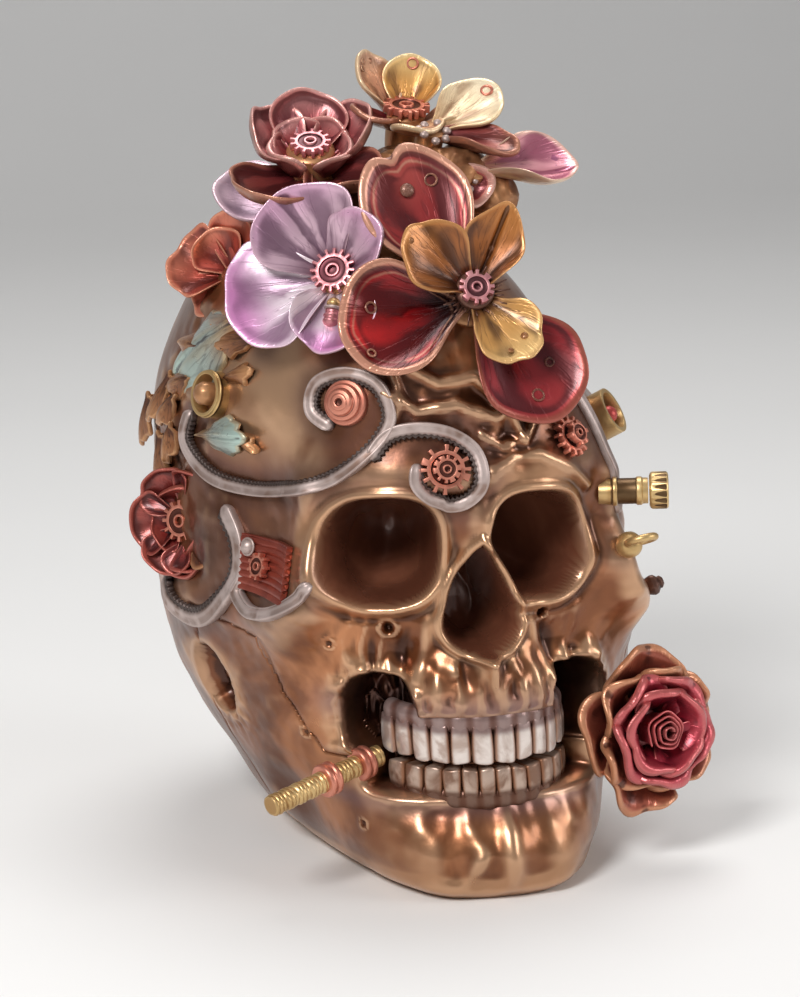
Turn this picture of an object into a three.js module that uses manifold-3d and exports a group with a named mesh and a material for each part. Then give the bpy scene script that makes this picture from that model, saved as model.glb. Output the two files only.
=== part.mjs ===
// A cast skull ornament, dressed with blossoms, leaves, scroll bands, gears and brass fittings.
// Millimetres, +Z up. The face looks along -Y and the origin is on the ground below the skull.

import * as THREE from 'three';
import { mergeVertices } from 'three/addons/utils/BufferGeometryUtils.js';
import Module from 'manifold-3d';

const wasm = await Module();
wasm.setup();

// Skull
const SKULL_WIDTH = 102;
const SKULL_HEIGHT = 149;
const FACE_REACH = 63;
const BACK_REACH = 66;
const AXIS_SET_BACK = 6;
const BACK_DRIFT = 8;
const ORBIT_WIDTH = 24.2;
const ORBIT_HEIGHT = 25.6;
const ORBIT_DEPTH = 27;
const ORBIT_SPACING = 34.8;
const ORBIT_SET_OVER = 3;
const ORBIT_LIP = 1.8;
const NOSE_WIDTH = 18.8;
const NOSE_HEIGHT = 27;
const NOSE_DEPTH = 20;
const NOSE_LIP = 2;
const CHEEK_HOLLOW_WIDTH = 16.5;
const CHEEK_HOLLOW_HEIGHT = 22.5;
const CHEEK_HOLLOW_DEPTH = 17;
const CHEEK_HOLLOW_SPACING = 47.4;
const ARCH_POCKET_DEPTH = 6;

// Jaw and teeth
const MOUTH_WIDTH = 45;
const MOUTH_SEAT_DEPTH = 5;
const MOUTH_CORNER_DEPTH = 9;
const UPPER_GUM_MARGIN = 2.2;
const LOWER_GUM_MARGIN = 1.05;
const GUM_FADE = 3;
const UPPER_TOOTH_HEIGHT = 9.4;
const LOWER_TOOTH_HEIGHT = 7;
const TOOTH_DEPTH = 4.2;
const TOOTH_ARCH_REACH = 24;
const BITE_GAP = 0.6;

// Petals, gears and trim
const CLEARANCE = 0.3;
const PETAL_THICKNESS = 1.9;
const LEAF_THICKNESS = 1.6;
const GEAR_THICKNESS = 1.8;
const GEAR_BORE = 2.2;
const BAND_WIDTH = 3.2;
const BAND_RISE = 1.8;
const TEMPLE_RING_WIDTH = 4.5;
const STRIP_RISE = 1.3;
const TRIM_SINK = 2.4;
const PANEL_THICKNESS = 1.4;
const STEM_RADIUS = 2.5;
const STEM_LENGTH = 32;
const STEM_THREAD = 0.5;
const COLLAR_RADIUS = 4;
const COLLAR_LENGTH = 3.6;
const NOZZLE_RADIUS = 3;
const NOZZLE_LENGTH = 9;
const NOZZLE_CAP_RADIUS = 4.3;
const NOZZLE_CAP_LENGTH = 4.6;
const BALL_RADIUS = 3.1;
const BALL_SINK = 0.9;
const LOOP_RADIUS = 3.2;
const LOOP_WIRE = 0.9;
const CLAMP_RADIUS = 5.6;
const CLAMP_WIDTH = 4.4;
const CLAMP_WALL = 1.1;
const BEAD_RADIUS = 2.2;
const KNOB_RADIUS = 5.2;
const KNOB_HEIGHT = 4.4;
const RIBBON_RADIUS = 5.4;
const RIBBON_WIDTH = 3.4;
const RIBBON_WALL = 0.9;
const NUB_RADIUS = 2.8;
const RIVET_RADIUS = 1.9;
const PENDANT_RADIUS = 2.6;
const BEE_RADIUS = 2.2;
const BROW_GEAR_RADIUS = 5.6;
const BROW_PINION_RADIUS = 3.1;
const TEMPLE_GEAR_RADIUS = 4.8;
const TEMPLE_PINION_RADIUS = 3;
const PANEL_GEAR_RADIUS = 3.2;
const TEAL_LEAF_REACH = 35;
const BROWN_LEAF_REACH = 17;
const SMALL_LEAF_REACH = 18;
const LEAF_LIFT = 1.4;
const MOUND_RADIUS = 25;
const MOUND_HEIGHT = 21;

// Reaches of the blossoms, from their centres to their longest petal tips
const DUSKY_REACH = 20;
const AMBER_REACH = 19;
const CREAM_REACH = 21;
const PINK_REACH = 23;
const BUD_RADIUS = 5.2;
const VIOLET_REACH = 22;
const LILAC_REACH = 26;
const CRIMSON_REACH = 34;
const GOLD_REACH = 22;
const COPPER_REACH = 17;
const SIDE_REACH = 17;
const ROSE_REACH = 22;

// Smoothness of the solids, in counts
const SKULL_SEGMENTS = 46;
const SKULL_ROWS = 31;
const PETAL_ACROSS = 3;
const PETAL_ALONG = 2;
const ROUND_SEGMENTS = 12;
const SMALL_SEGMENTS = 8;
const BORE_SEGMENTS = 5;
const PANEL_STEPS = 3;
const WIRE_SEGMENTS = 5;

const crownShare = 0.65;
const MERGE_REACH = 0.0001;

const HALF_WIDTH = SKULL_WIDTH / 2;
const CROWN_HEIGHT = SKULL_HEIGHT * crownShare;
const DEGREE = Math.PI / 180;

const finishes = {
  bone: { color: 0xb07a45, roughness: 0.35, metalness: 0.6 },
  tooth: { color: 0xc9c0b8, roughness: 0.35, metalness: 0.5 },
  dusky: { color: 0x8c4848, roughness: 0.35, metalness: 0.4 },
  amber: { color: 0xc08440, roughness: 0.35, metalness: 0.5 },
  cream: { color: 0xd8c090, roughness: 0.4, metalness: 0.3 },
  pink: { color: 0xc07880, roughness: 0.35, metalness: 0.4 },
  lilac: { color: 0xb48cb4, roughness: 0.3, metalness: 0.3 },
  crimson: { color: 0x7c1c20, roughness: 0.2, metalness: 0.4 },
  copper: { color: 0xb4604c, roughness: 0.35, metalness: 0.7 },
  silver: { color: 0x9c8c94, roughness: 0.4, metalness: 0.7 },
  brass: { color: 0xc8a050, roughness: 0.3, metalness: 0.9 },
  teal: { color: 0x90a8a0, roughness: 0.35, metalness: 0.4 },
  brown: { color: 0x6c3c20, roughness: 0.4, metalness: 0.4 },
};

const decoration = new THREE.Group();

// Closed surfaces

function closedGeometry(points, triangles) {
  const geometry = new THREE.BufferGeometry();
  const flat = points.flatMap((p) => [p.x, p.y, p.z]);
  geometry.setAttribute('position', new THREE.Float32BufferAttribute(flat, 3));
  geometry.setIndex(triangles.flat());
  return geometry;
}

function solidOf(geometry) {
  const bare = geometry.clone();
  bare.deleteAttribute('normal');
  bare.deleteAttribute('uv');
  const merged = mergeVertices(bare, MERGE_REACH);
  const mesh = new wasm.Mesh({
    numProp: 3,
    vertProperties: new Float32Array(merged.attributes.position.array),
    triVerts: new Uint32Array(merged.index.array),
  });
  return new wasm.Manifold(mesh);
}

function largestOf(solid) {
  const bodies = solid.decompose();
  return bodies.reduce((best, body) => (body.volume() > best.volume() ? body : best));
}

function addPiece(name, solid, finish) {
  const { vertProperties, triVerts, numProp } = largestOf(solid).getMesh();
  const geometry = new THREE.BufferGeometry();
  geometry.setAttribute('position', new THREE.BufferAttribute(vertProperties, numProp));
  geometry.setIndex(new THREE.BufferAttribute(triVerts, 1));
  geometry.computeVertexNormals();
  const mesh = new THREE.Mesh(geometry, new THREE.MeshStandardMaterial(finish));
  mesh.name = name;
  decoration.add(mesh);
}

// A solid skin through rings of points, each ring counter-clockwise seen from past the last one
function ringLoft(rings) {
  const count = rings[0].length;
  const points = rings.flat();
  const triangles = [];
  for (let i = 0; i < rings.length - 1; i += 1) {
    for (let j = 0; j < count; j += 1) {
      const a = i * count + j;
      const b = i * count + ((j + 1) % count);
      triangles.push([a, b, b + count], [a, b + count, a + count]);
    }
  }
  const first = middleOf(rings[0]);
  const last = middleOf(rings[rings.length - 1]);
  points.push(first, last);
  const base = (rings.length - 1) * count;
  for (let j = 0; j < count; j += 1) {
    const k = (j + 1) % count;
    triangles.push([points.length - 2, k, j], [points.length - 1, base + j, base + k]);
  }
  return closedGeometry(points, triangles);
}

function middleOf(points) {
  const sum = new THREE.Vector3();
  points.forEach((p) => sum.add(p));
  return sum.divideScalar(points.length);
}

// A closed shell between an upper and a lower grid of points with the same rows and columns
function shellBetween(upper, lower) {
  const rows = upper.length;
  const columns = upper[0].length;
  const points = [...upper.flat(), ...lower.flat()];
  const under = rows * columns;
  const triangles = [];
  for (let i = 0; i < rows - 1; i += 1) {
    for (let j = 0; j < columns - 1; j += 1) {
      const a = i * columns + j;
      const c = a + columns;
      triangles.push([a, c, c + 1], [a, c + 1, a + 1]);
      triangles.push([under + a, under + c + 1, under + c], [under + a, under + a + 1, under + c + 1]);
    }
  }
  const edge = [];
  for (let j = 0; j < columns - 1; j += 1) edge.push(j);
  for (let i = 0; i < rows - 1; i += 1) edge.push(i * columns + columns - 1);
  for (let j = columns - 1; j > 0; j -= 1) edge.push((rows - 1) * columns + j);
  for (let i = rows - 1; i > 0; i -= 1) edge.push(i * columns);
  edge.forEach((a, k) => {
    const b = edge[(k + 1) % edge.length];
    triangles.push([a, b, under + b], [a, under + b, under + a]);
  });
  return closedGeometry(points, triangles);
}

// A turned solid about Z through [radius, height] pairs from bottom to top
function turned(profile, segments = ROUND_SEGMENTS) {
  const outline = profile.map(([radius, height]) => new THREE.Vector2(radius, height));
  return new THREE.LatheGeometry(outline, segments).rotateX(Math.PI / 2);
}

// The skull as a surface of rays: from its axis below the crown's centre, and from that centre above it

// Height share, then reach to the front, half width, reach to the back, and squareness in front
const sectionShares = [
  [0, 1.07, 0.54, 0.46, 2.5],
  [0.02, 1.115, 0.61, 0.5, 2.7],
  [0.06, 1.145, 0.69, 0.57, 2.7],
  [0.115, 1.13, 0.77, 0.65, 2.45],
  [0.17, 1.075, 0.865, 0.74, 2.15],
  [0.225, 1.055, 0.94, 0.83, 2],
  [0.285, 1.03, 1, 0.9, 1.95],
  [0.365, 1.0, 1.035, 0.97, 2],
  [0.445, 0.97, 1.04, 1, 2.1],
  [0.54, 0.955, 1.03, 1.01, 2.2],
  [crownShare, 1, 1, 1, 2.1],
];
const crownShares = { squareness: 2.25, backSquareness: 2.2 };

// Swellings and dips on both sides: place, reach and rise, as shares of half width, face reach and height
const swellingShares = [
  [0.33, -0.79, 0.655, 0.29, 0.5, 0.04, 0.058],
  [0, -0.95, 0.64, 0.17, 0.5, 0.047, 0.04],
  [0.38, -0.79, 0.825, 0.33, 0.5, 0.09, 0.04],
  [0.83, -0.43, 0.62, 0.27, 0.23, 0.1, -0.087],
  [0, -0.98, 0.565, 0.096, 0.5, 0.054, 0.106],
  [0, -0.98, 0.625, 0.135, 0.5, 0.02, -0.03],
  [0, -1.08, 0.06, 0.25, 0.5, 0.05, 0.045],
  [0, -1.02, 0.15, 0.46, 0.5, 0.034, -0.055],
  [0, -0.98, 0.32, 0.36, 0.5, 0.054, 0.058],
  [0.385, -0.82, 0.375, 0.135, 0.5, 0.045, -0.07],
  [0, -0.98, 0.372, 0.04, 0.5, 0.028, 0.096],
];

// Ridges on both sides: from one place to another, with reach and rise as shares of the half width
const ridgeShares = [
  [0.69, -0.69, 0.485, 0.77, -0.56, 0.405, 0.154, 0.096],
  [0.77, -0.56, 0.425, 0.98, 0.03, 0.405, 0.115, 0.06],
  [0.71, -0.66, 0.445, 0.69, -0.66, 0.62, 0.096, 0.067],
  [0.69, -0.36, 0.35, 0.6, -0.16, 0.12, 0.173, 0.058],
  [0.6, -0.2, 0.1, 0.27, -0.92, 0.04, 0.135, 0.048],
];
const orbitShares = { height: 0.54, squareness: 2.5, bowl: 2.6, slope: 0.1, lipPlace: 1.08, lipWidth: 0.13 };
const noseShares = { base: 0.378, widest: 0.25, taper: 1.6, lipPlace: 1.1, lipWidth: 0.13, wall: 0.62 };
const cheekShares = { height: 0.275, squareness: 2.6, wall: 0.6 };
const mouthShares = { outer: 1.3, inner: 1 };
// Height of the bite, the crowns that meet there, and the hollow that they stand in
const biteShare = 0.208;
const biteZ = biteShare * SKULL_HEIGHT;
const UPPER_EDGE = biteZ + BITE_GAP / 2;
const UPPER_NECK = UPPER_EDGE + UPPER_TOOTH_HEIGHT;
const LOWER_EDGE = biteZ - BITE_GAP / 2;
const LOWER_NECK = LOWER_EDGE - LOWER_TOOTH_HEIGHT;
const MOUTH_HIGH = UPPER_NECK + UPPER_GUM_MARGIN;
const MOUTH_LOW = LOWER_NECK - LOWER_GUM_MARGIN;
const pocketShares = { y: -0.1, z: 0.275, reachY: 0.13, reachZ: 0.06, wall: 0.7, inner: 0.38, outer: 0.58 };
const faceFadeShares = [-0.2, -0.43];
// The casting leans a little towards its right above the orbits and its left below them, and its back
// drifts towards its right
const leanShares = { slant: -0.055, still: 0.5, driftFrom: -0.7, driftTo: 0.64 };

const smooth = (low, high, value) => THREE.MathUtils.clamp((value - low) / (high - low), 0, 1) ** 2
  * (3 - 2 * THREE.MathUtils.clamp((value - low) / (high - low), 0, 1));
const bump = (distance) => Math.exp(-(distance ** 2));

function leanAt(y, z) {
  const { slant, still, driftFrom, driftTo } = leanShares;
  const drift = BACK_DRIFT * smooth(driftFrom, driftTo, y / FACE_REACH);
  return slant * (z - still * SKULL_HEIGHT) - drift;
}

// Smooth curve through one column of the sections
function sectionValue(column, share) {
  const last = sectionShares.length - 1;
  const slope = (k) => {
    const before = sectionShares[Math.max(k - 1, 0)];
    const after = sectionShares[Math.min(k + 1, last)];
    return k === last ? 0 : (after[column] - before[column]) / (after[0] - before[0]);
  };
  let i = 0;
  while (i < last - 1 && share > sectionShares[i + 1][0]) i += 1;
  const [from, to] = [sectionShares[i], sectionShares[i + 1]];
  const step = to[0] - from[0];
  const t = THREE.MathUtils.clamp((share - from[0]) / step, 0, 1);
  return (2 * t ** 3 - 3 * t ** 2 + 1) * from[column] + (t ** 3 - 2 * t ** 2 + t) * step * slope(i)
    + (3 * t ** 2 - 2 * t ** 3) * to[column] + (t ** 3 - t ** 2) * step * slope(i + 1);
}

function plainReach(turn, heightShare) {
  const across = Math.abs(Math.sin(turn)) / (HALF_WIDTH * sectionValue(2, heightShare));
  const inFront = Math.cos(turn) > 0;
  const ahead = FACE_REACH * sectionValue(1, heightShare);
  const behind = BACK_REACH * sectionValue(3, heightShare);
  const reach = inFront ? ahead : behind;
  const power = inFront ? sectionValue(4, heightShare) : crownShares.backSquareness;
  return (across ** power + (Math.abs(Math.cos(turn)) / reach) ** power) ** (-1 / power);
}

function ridgeDistance(x, y, z, ridge) {
  const [ax, ay, az, bx, by, bz] = ridge;
  const from = new THREE.Vector3(ax * HALF_WIDTH, ay * FACE_REACH, az * SKULL_HEIGHT);
  const to = new THREE.Vector3(bx * HALF_WIDTH, by * FACE_REACH, bz * SKULL_HEIGHT);
  const point = new THREE.Vector3(x, y, z);
  return new THREE.Line3(from, to).closestPointToPoint(point, true, new THREE.Vector3()).distanceTo(point);
}

// Rise of the bone above the plain form at a point of that form
function boneRise(x, y, z) {
  const side = Math.abs(x);
  const face = smooth(faceFadeShares[0] * FACE_REACH, faceFadeShares[1] * FACE_REACH, y);
  let rise = 0;
  for (const [px, py, pz, rx, ry, rz, height] of swellingShares) {
    const dx = (side / HALF_WIDTH - px) / rx;
    const dy = (y / FACE_REACH - py) / ry;
    const dz = (z / SKULL_HEIGHT - pz) / rz;
    rise += height * HALF_WIDTH * bump(Math.hypot(dx, dy, dz));
  }
  for (const ridge of ridgeShares) {
    const [reach, height] = [ridge[6], ridge[7]];
    rise += height * HALF_WIDTH * bump(ridgeDistance(side, y, z, ridge) / (reach * HALF_WIDTH));
  }
  const hollow = Math.min(cheekRise(side, z), mouthRise(side, z));
  return rise + face * (orbitRise(x, z) + noseRise(side, z) + hollow) - pocketDepth(side, y, z);
}

function orbitRise(x, z) {
  const { height, squareness, bowl, slope, lipPlace, lipWidth } = orbitShares;
  const out = Math.abs(x + ORBIT_SET_OVER) - ORBIT_SPACING / 2;
  const across = Math.abs(out) / (ORBIT_WIDTH / 2);
  const up = Math.abs(z - height * SKULL_HEIGHT + slope * out) / (ORBIT_HEIGHT / 2);
  const edge = (across ** squareness + up ** squareness) ** (1 / squareness);
  const deep = Math.sqrt(Math.max(1 - edge ** bowl, 0));
  return ORBIT_LIP * bump((edge - lipPlace) / lipWidth) - ORBIT_DEPTH * deep;
}

function noseRise(side, z) {
  const { base, widest, taper, lipPlace, lipWidth, wall } = noseShares;
  const up = (z - base * SKULL_HEIGHT) / NOSE_HEIGHT;
  const across = side / (NOSE_WIDTH / 2);
  const above = across + Math.max((up - widest) / (1 - widest), 0) ** taper;
  const edge = up < widest ? Math.hypot(across, (widest - up) / widest) : above;
  return NOSE_LIP * bump((edge - lipPlace) / lipWidth) - NOSE_DEPTH * smooth(1, wall, edge);
}

function cheekRise(side, z) {
  const { height, squareness, wall } = cheekShares;
  const across = Math.abs(side - CHEEK_HOLLOW_SPACING / 2) / (CHEEK_HOLLOW_WIDTH / 2);
  const up = Math.abs(z - height * SKULL_HEIGHT) / (CHEEK_HOLLOW_HEIGHT / 2);
  return -CHEEK_HOLLOW_DEPTH * smooth(1, wall, (across ** squareness + up ** squareness) ** (1 / squareness));
}

function mouthRise(side, z) {
  const out = side / (MOUTH_WIDTH / 2);
  const depth = MOUTH_SEAT_DEPTH + MOUTH_CORNER_DEPTH * Math.min(out, 1) ** 2;
  const above = smooth(MOUTH_LOW, MOUTH_LOW + GUM_FADE, z);
  const below = smooth(MOUTH_HIGH, MOUTH_HIGH - GUM_FADE, z);
  return -depth * smooth(mouthShares.outer, mouthShares.inner, out) * above * below;
}

function pocketDepth(side, y, z) {
  const { y: py, z: pz, reachY, reachZ, wall, inner, outer } = pocketShares;
  const away = Math.hypot((y / FACE_REACH - py) / reachY, (z / SKULL_HEIGHT - pz) / reachZ);
  return ARCH_POCKET_DEPTH * smooth(1, wall, away) * smooth(inner, outer, side / HALF_WIDTH);
}

// The crown is drawn in on its left side, and a little on its right
const drawShares = { left: 0.28, right: 0.07, full: 0.36 };

function drawnIn(turn, climb) {
  const out = Math.sin(turn);
  const most = out > 0 ? drawShares.left * out : -drawShares.right * out;
  return most * smooth(0, drawShares.full * Math.PI / 2, climb);
}

// Point of the skull at a turn from the face, in radians, and a rise: up to 1 the height share under the
// crown's centre, and above 1 the elevation share over it
function skullPoint(turn, rise, grow = 0) {
  const height = Math.min(rise, 1) * CROWN_HEIGHT;
  const climb = THREE.MathUtils.clamp(rise - 1, 0, 1) * Math.PI / 2;
  const start = new THREE.Vector3(0, AXIS_SET_BACK, height);
  const level = new THREE.Vector3(Math.sin(turn), -Math.cos(turn), 0);
  const ray = level.multiplyScalar(Math.cos(climb)).setZ(Math.sin(climb));
  const side = plainReach(turn, height / SKULL_HEIGHT) * (1 - drawnIn(turn, climb));
  const power = crownShares.squareness;
  const up = Math.sin(climb) / (SKULL_HEIGHT - CROWN_HEIGHT);
  const reach = ((Math.cos(climb) / side) ** power + up ** power) ** (-1 / power);
  const plain = start.clone().addScaledVector(ray, reach);
  const point = start.addScaledVector(ray, reach + boneRise(plain.x, plain.y, plain.z) + grow);
  return point.setX(point.x + leanAt(point.y, point.z));
}

// The columns stand closer together on the face than behind, and the rows on the teeth and orbits
const crowdingShares = { face: 0.5, crownRows: 0.27 };

function skullSolid(grow) {
  const crownRows = Math.round(SKULL_ROWS * crowdingShares.crownRows);
  const lowRows = SKULL_ROWS - crownRows;
  const rings = [];
  for (let i = 0; i < SKULL_ROWS; i += 1) {
    const rise = i < lowRows ? i / lowRows : 1 + (i - lowRows) / crownRows;
    const ring = [];
    for (let j = 0; j < SKULL_SEGMENTS; j += 1) {
      const even = (j / SKULL_SEGMENTS - 0.5) * 2 * Math.PI;
      ring.push(skullPoint(even - crowdingShares.face * Math.sin(even), rise, grow));
    }
    rings.push(ring);
  }
  if (grow > 0) rings[0].forEach((p) => p.setZ(p.z - grow));
  return solidOf(ringLoft(rings));
}

// Rays lean over the bone, so the neighbours' clearance is opened a little along them
const leanOpeningShare = 1.4;
const SEAT_CLEARANCE = CLEARANCE * leanOpeningShare;
const skull = skullSolid(0);
const skullSeat = skullSolid(SEAT_CLEARANCE);
const probeShare = 0.03;

// Place on the skull with the way that the bone faces there
function onSkull([turnDegrees, rise]) {
  const turn = turnDegrees * DEGREE;
  const point = skullPoint(turn, rise);
  const along = skullPoint(turn + probeShare, rise).sub(skullPoint(turn - probeShare, rise));
  const upward = skullPoint(turn, rise + probeShare).sub(skullPoint(turn, rise - probeShare));
  const normal = along.cross(upward).normalize();
  return { point, normal };
}

// Frame with its Z along a direction and its Y as near to up as can be
function frameAlong(direction, origin) {
  const z = direction.clone().normalize();
  const x = new THREE.Vector3(0, 0, 1).cross(z).normalize();
  const y = z.clone().cross(x);
  return new THREE.Matrix4().makeBasis(x, y, z).setPosition(origin);
}

function facing([azimuth, elevation]) {
  const [a, e] = [azimuth * DEGREE, elevation * DEGREE];
  return new THREE.Vector3(Math.sin(a) * Math.cos(e), -Math.cos(a) * Math.cos(e), Math.sin(e));
}

function placeOf([x, y, z]) {
  return new THREE.Vector3(x * HALF_WIDTH, y * FACE_REACH, z * SKULL_HEIGHT);
}

// Cranium and mandible, parted along the bite, up the front of the ramus and down behind it
const partingShares = [
  [-2, -0.1], [-2, biteShare], [-0.62, biteShare], [-0.5, 0.3], [-0.48, 0.38], [-0.1, 0.4],
  [-0.02, 0.3], [0.02, 0.12], [0.02, -0.1],
];

function jawRegion(grow) {
  const outline = partingShares.map(([y, z]) => new THREE.Vector2(y * FACE_REACH, z * SKULL_HEIGHT));
  const middle = new THREE.Vector2(partingShares[3][0] * FACE_REACH, 0);
  const away = outline.map((p) => {
    const out = p.clone().sub(middle).normalize();
    return p.clone().addScaledVector(out, grow);
  });
  const shape = new THREE.Shape(away);
  const wide = SKULL_WIDTH * 2;
  const prism = new THREE.ExtrudeGeometry(shape, { depth: wide, bevelEnabled: false, steps: 1 });
  prism.translate(0, 0, -wide / 2);
  prism.applyMatrix4(new THREE.Matrix4().makeBasis(
    new THREE.Vector3(0, 1, 0),
    new THREE.Vector3(0, 0, 1),
    new THREE.Vector3(1, 0, 0),
  ));
  return solidOf(prism);
}

addPiece('cranium', skull.subtract(jawRegion(CLEARANCE)), finishes.bone);
addPiece('mandible', skull.intersect(jawRegion(0)), finishes.bone);

// Pieces settle one after another: each is cut by the skull and by the room of those before it
const settled = [];

function meets(a, b) {
  return [0, 1, 2].every((k) => a.min[k] < b.max[k] && b.min[k] < a.max[k]);
}

function settle(name, build, finish) {
  let solid = build(0).subtract(skullSeat);
  for (const other of settled) {
    if (meets(solid.boundingBox(), other.box)) solid = solid.subtract(other.room);
  }
  const room = build(CLEARANCE);
  settled.push({ room, box: room.boundingBox() });
  addPiece(name, solid, finish);
}

function moved(geometry, matrix) {
  return solidOf(geometry.applyMatrix4(matrix));
}

// Teeth: one row for each jaw, lofted along the arch and drawn in between neighbouring crowns

// Half of the arch from the midline: where each crown ends, as shares of the half arch
const upperCrownShares = [0, 0.17, 0.32, 0.47, 0.62, 0.78, 0.95];
const lowerCrownShares = [0, 0.125, 0.25, 0.39, 0.54, 0.7, 0.88];
const archShares = { sweep: 0.46, front: 1.06 };
const ARCH_SET_BACK = archShares.front * FACE_REACH - MOUTH_SEAT_DEPTH - TOOTH_ARCH_REACH;
// From the gum to the biting edge: height, then inset from the arch
const crownShapeShares = [[0, 0.3], [0.55, 0], [1, 0.16]];
const grooveShares = { inset: 0.3, notch: 0.06 };
const crownStepShares = [[0.08, 1], [0.5, 0], [0.92, 1]];
const crownRootShare = 1.3;

function archPoint(share, z, inset) {
  const turn = share * archShares.sweep * Math.PI;
  const x = (MOUTH_WIDTH / 2 - inset) * Math.sin(turn);
  const y = -ARCH_SET_BACK - (TOOTH_ARCH_REACH - inset) * Math.cos(turn);
  return new THREE.Vector3(x + leanAt(y, z), y, z);
}

// How far a point stands out from the axis of the skull
function standsOut(point) {
  return Math.hypot(point.x - leanAt(point.y, point.z), AXIS_SET_BACK - point.y);
}

// The back of a crown: one clearance in front of the bone, or at its own root where bone covers the neck
function crownBack(point, grow) {
  const turn = Math.atan2(point.x - leanAt(point.y, point.z), AXIS_SET_BACK - point.y);
  const gap = SEAT_CLEARANCE + CLEARANCE / 2 - grow;
  const seat = (back) => skullPoint(turn, point.z / CROWN_HEIGHT, gap - back);
  const buried = standsOut(seat(0)) - standsOut(point) + crownRootShare * TOOTH_DEPTH;
  return seat(Math.max(buried, 0));
}

// One section of the row: the crown's face from gum to edge, and the seat behind it
function crownSection(share, pinch, neckZ, edgeZ, grow) {
  const rise = edgeZ - neckZ;
  const out = Math.sign(rise) * grow;
  const inward = grooveShares.inset * TOOTH_DEPTH * pinch - grow;
  const level = (up) => neckZ + rise * up * (1 - grooveShares.notch * pinch) + out * (2 * up - 1);
  const face = crownShapeShares.map(([up, inset]) => (
    archPoint(share, level(up), inset * TOOTH_DEPTH + inward)));
  const back = [1, 0].map((up) => crownBack(archPoint(share, level(up), 0), grow));
  return [...face, ...back];
}

function toothRow(crownShares, neckZ, edgeZ) {
  const half = crownShares.slice(1).flatMap((end, i) => crownStepShares.map(([step, pinch]) => (
    [THREE.MathUtils.lerp(crownShares[i], end, step), pinch])));
  const stations = [...half.map(([share, pinch]) => [-share, pinch]).reverse(), ...half];
  return (grow) => {
    const rings = stations.map(([share, pinch], i) => {
      const outward = i === 0 ? -grow : (i === stations.length - 1 ? grow : 0);
      return crownSection(share + outward / MOUTH_WIDTH, pinch, neckZ, edgeZ, grow);
    });
    return solidOf(ringLoft(edgeZ < neckZ ? rings : rings.reverse()));
  };
}

settle('upper_teeth', toothRow(upperCrownShares, UPPER_NECK, UPPER_EDGE), finishes.tooth);
settle('lower_teeth', toothRow(lowerCrownShares, LOWER_NECK, LOWER_EDGE), finishes.tooth);

// Gears: trapezoid teeth round a bored disc, standing on their frame's XY plane
const toothFlankShares = [[-0.18, 1], [0.18, 1], [0.5, 0]];
const toothDepthShare = 0.24;

function roundOutline(radius, segments) {
  return new THREE.Path().absarc(0, 0, radius, 0, 2 * Math.PI).getSpacedPoints(segments).slice(0, -1);
}

function gearSolid(teeth, radius, frame, grow) {
  const points = [];
  for (let i = 0; i < teeth; i += 1) {
    toothFlankShares.forEach(([turn, high]) => {
      const a = ((i + turn) / teeth) * 2 * Math.PI;
      const r = radius - toothDepthShare * radius * (1 - high);
      points.push(new THREE.Vector2(r * Math.cos(a), r * Math.sin(a)));
    });
  }
  const plain = grow > 0;
  const shape = new THREE.Shape(plain ? roundOutline(radius + grow, ROUND_SEGMENTS) : points);
  if (!plain) shape.holes.push(new THREE.Path(roundOutline(GEAR_BORE / 2, BORE_SEGMENTS)));
  const options = { depth: GEAR_THICKNESS + 2 * grow, bevelEnabled: false, steps: 1 };
  return moved(new THREE.ExtrudeGeometry(shape, options).translate(0, 0, -grow), frame);
}

// Petals: a disc of grid points drawn out into a petal, cupped by its dish and curled by its bow
// Row: turn and tilt in degrees; root, length and width as shares of the reach; dish, bow and point
const neckShares = { least: 0.32, from: -0.05, to: 0.7 };
const pointShare = 0.55;
const dishShares = { across: 0.4, along: 0.17 };

function petalPoint(p, q, shape, up, grow) {
  const [turn, tilt, root, length, width, dish, bow, point] = shape;
  const along = (p + 1) / 2;
  const neck = THREE.MathUtils.lerp(neckShares.least, 1, smooth(neckShares.from, neckShares.to, along));
  const tipped = 1 - point * pointShare * Math.max(p, 0) ** 2;
  const x = length * along;
  const half = (width / 2) * neck * tipped;
  const out = q * (1 + grow / half);
  const cup = dishShares.across * out ** 2 + dishShares.along * Math.max(p, 0) ** 2;
  const z = dish * width * cup + bow * length * along ** 2 + up;
  const [c, s] = [Math.cos(tilt * DEGREE), Math.sin(tilt * DEGREE)];
  const leaned = new THREE.Vector3(root + x * c - z * s, half * out, x * s + z * c);
  return leaned.applyAxisAngle(new THREE.Vector3(0, 0, 1), turn * DEGREE);
}

function petalSolid(row, reach, thickness, frame, grow) {
  const [turn, tilt, root, length, width, dish, bow, point] = row;
  const shape = [turn, tilt, root * reach, length * reach, width * reach, dish, bow, point];
  const longer = 1 + (2 * grow) / (length * reach);
  const grid = (up) => Array.from({ length: PETAL_ALONG + 1 }, (_, i) => (
    Array.from({ length: PETAL_ACROSS + 1 }, (__, j) => {
      const [s, t] = [(2 * j) / PETAL_ACROSS - 1, (2 * i) / PETAL_ALONG - 1];
      const p = t * Math.sqrt(1 - s ** 2 / 2) * longer;
      const q = s * Math.sqrt(1 - t ** 2 / 2);
      return petalPoint(p, q, shape, up, grow).applyMatrix4(frame);
    })
  ));
  const half = thickness / 2 + grow;
  return solidOf(shellBetween(grid(half), grid(-half)));
}

// A turned piece on a frame: its outline as shares of its radius and height, from its base upwards
function turnedPiece(outlineShares, radius, height, segments, frame) {
  return (grow) => moved(turned(outlineShares.map(([out, up]) => [
    out * (radius + grow), up * height + grow * (2 * up - 1),
  ]), segments), frame);
}

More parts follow.
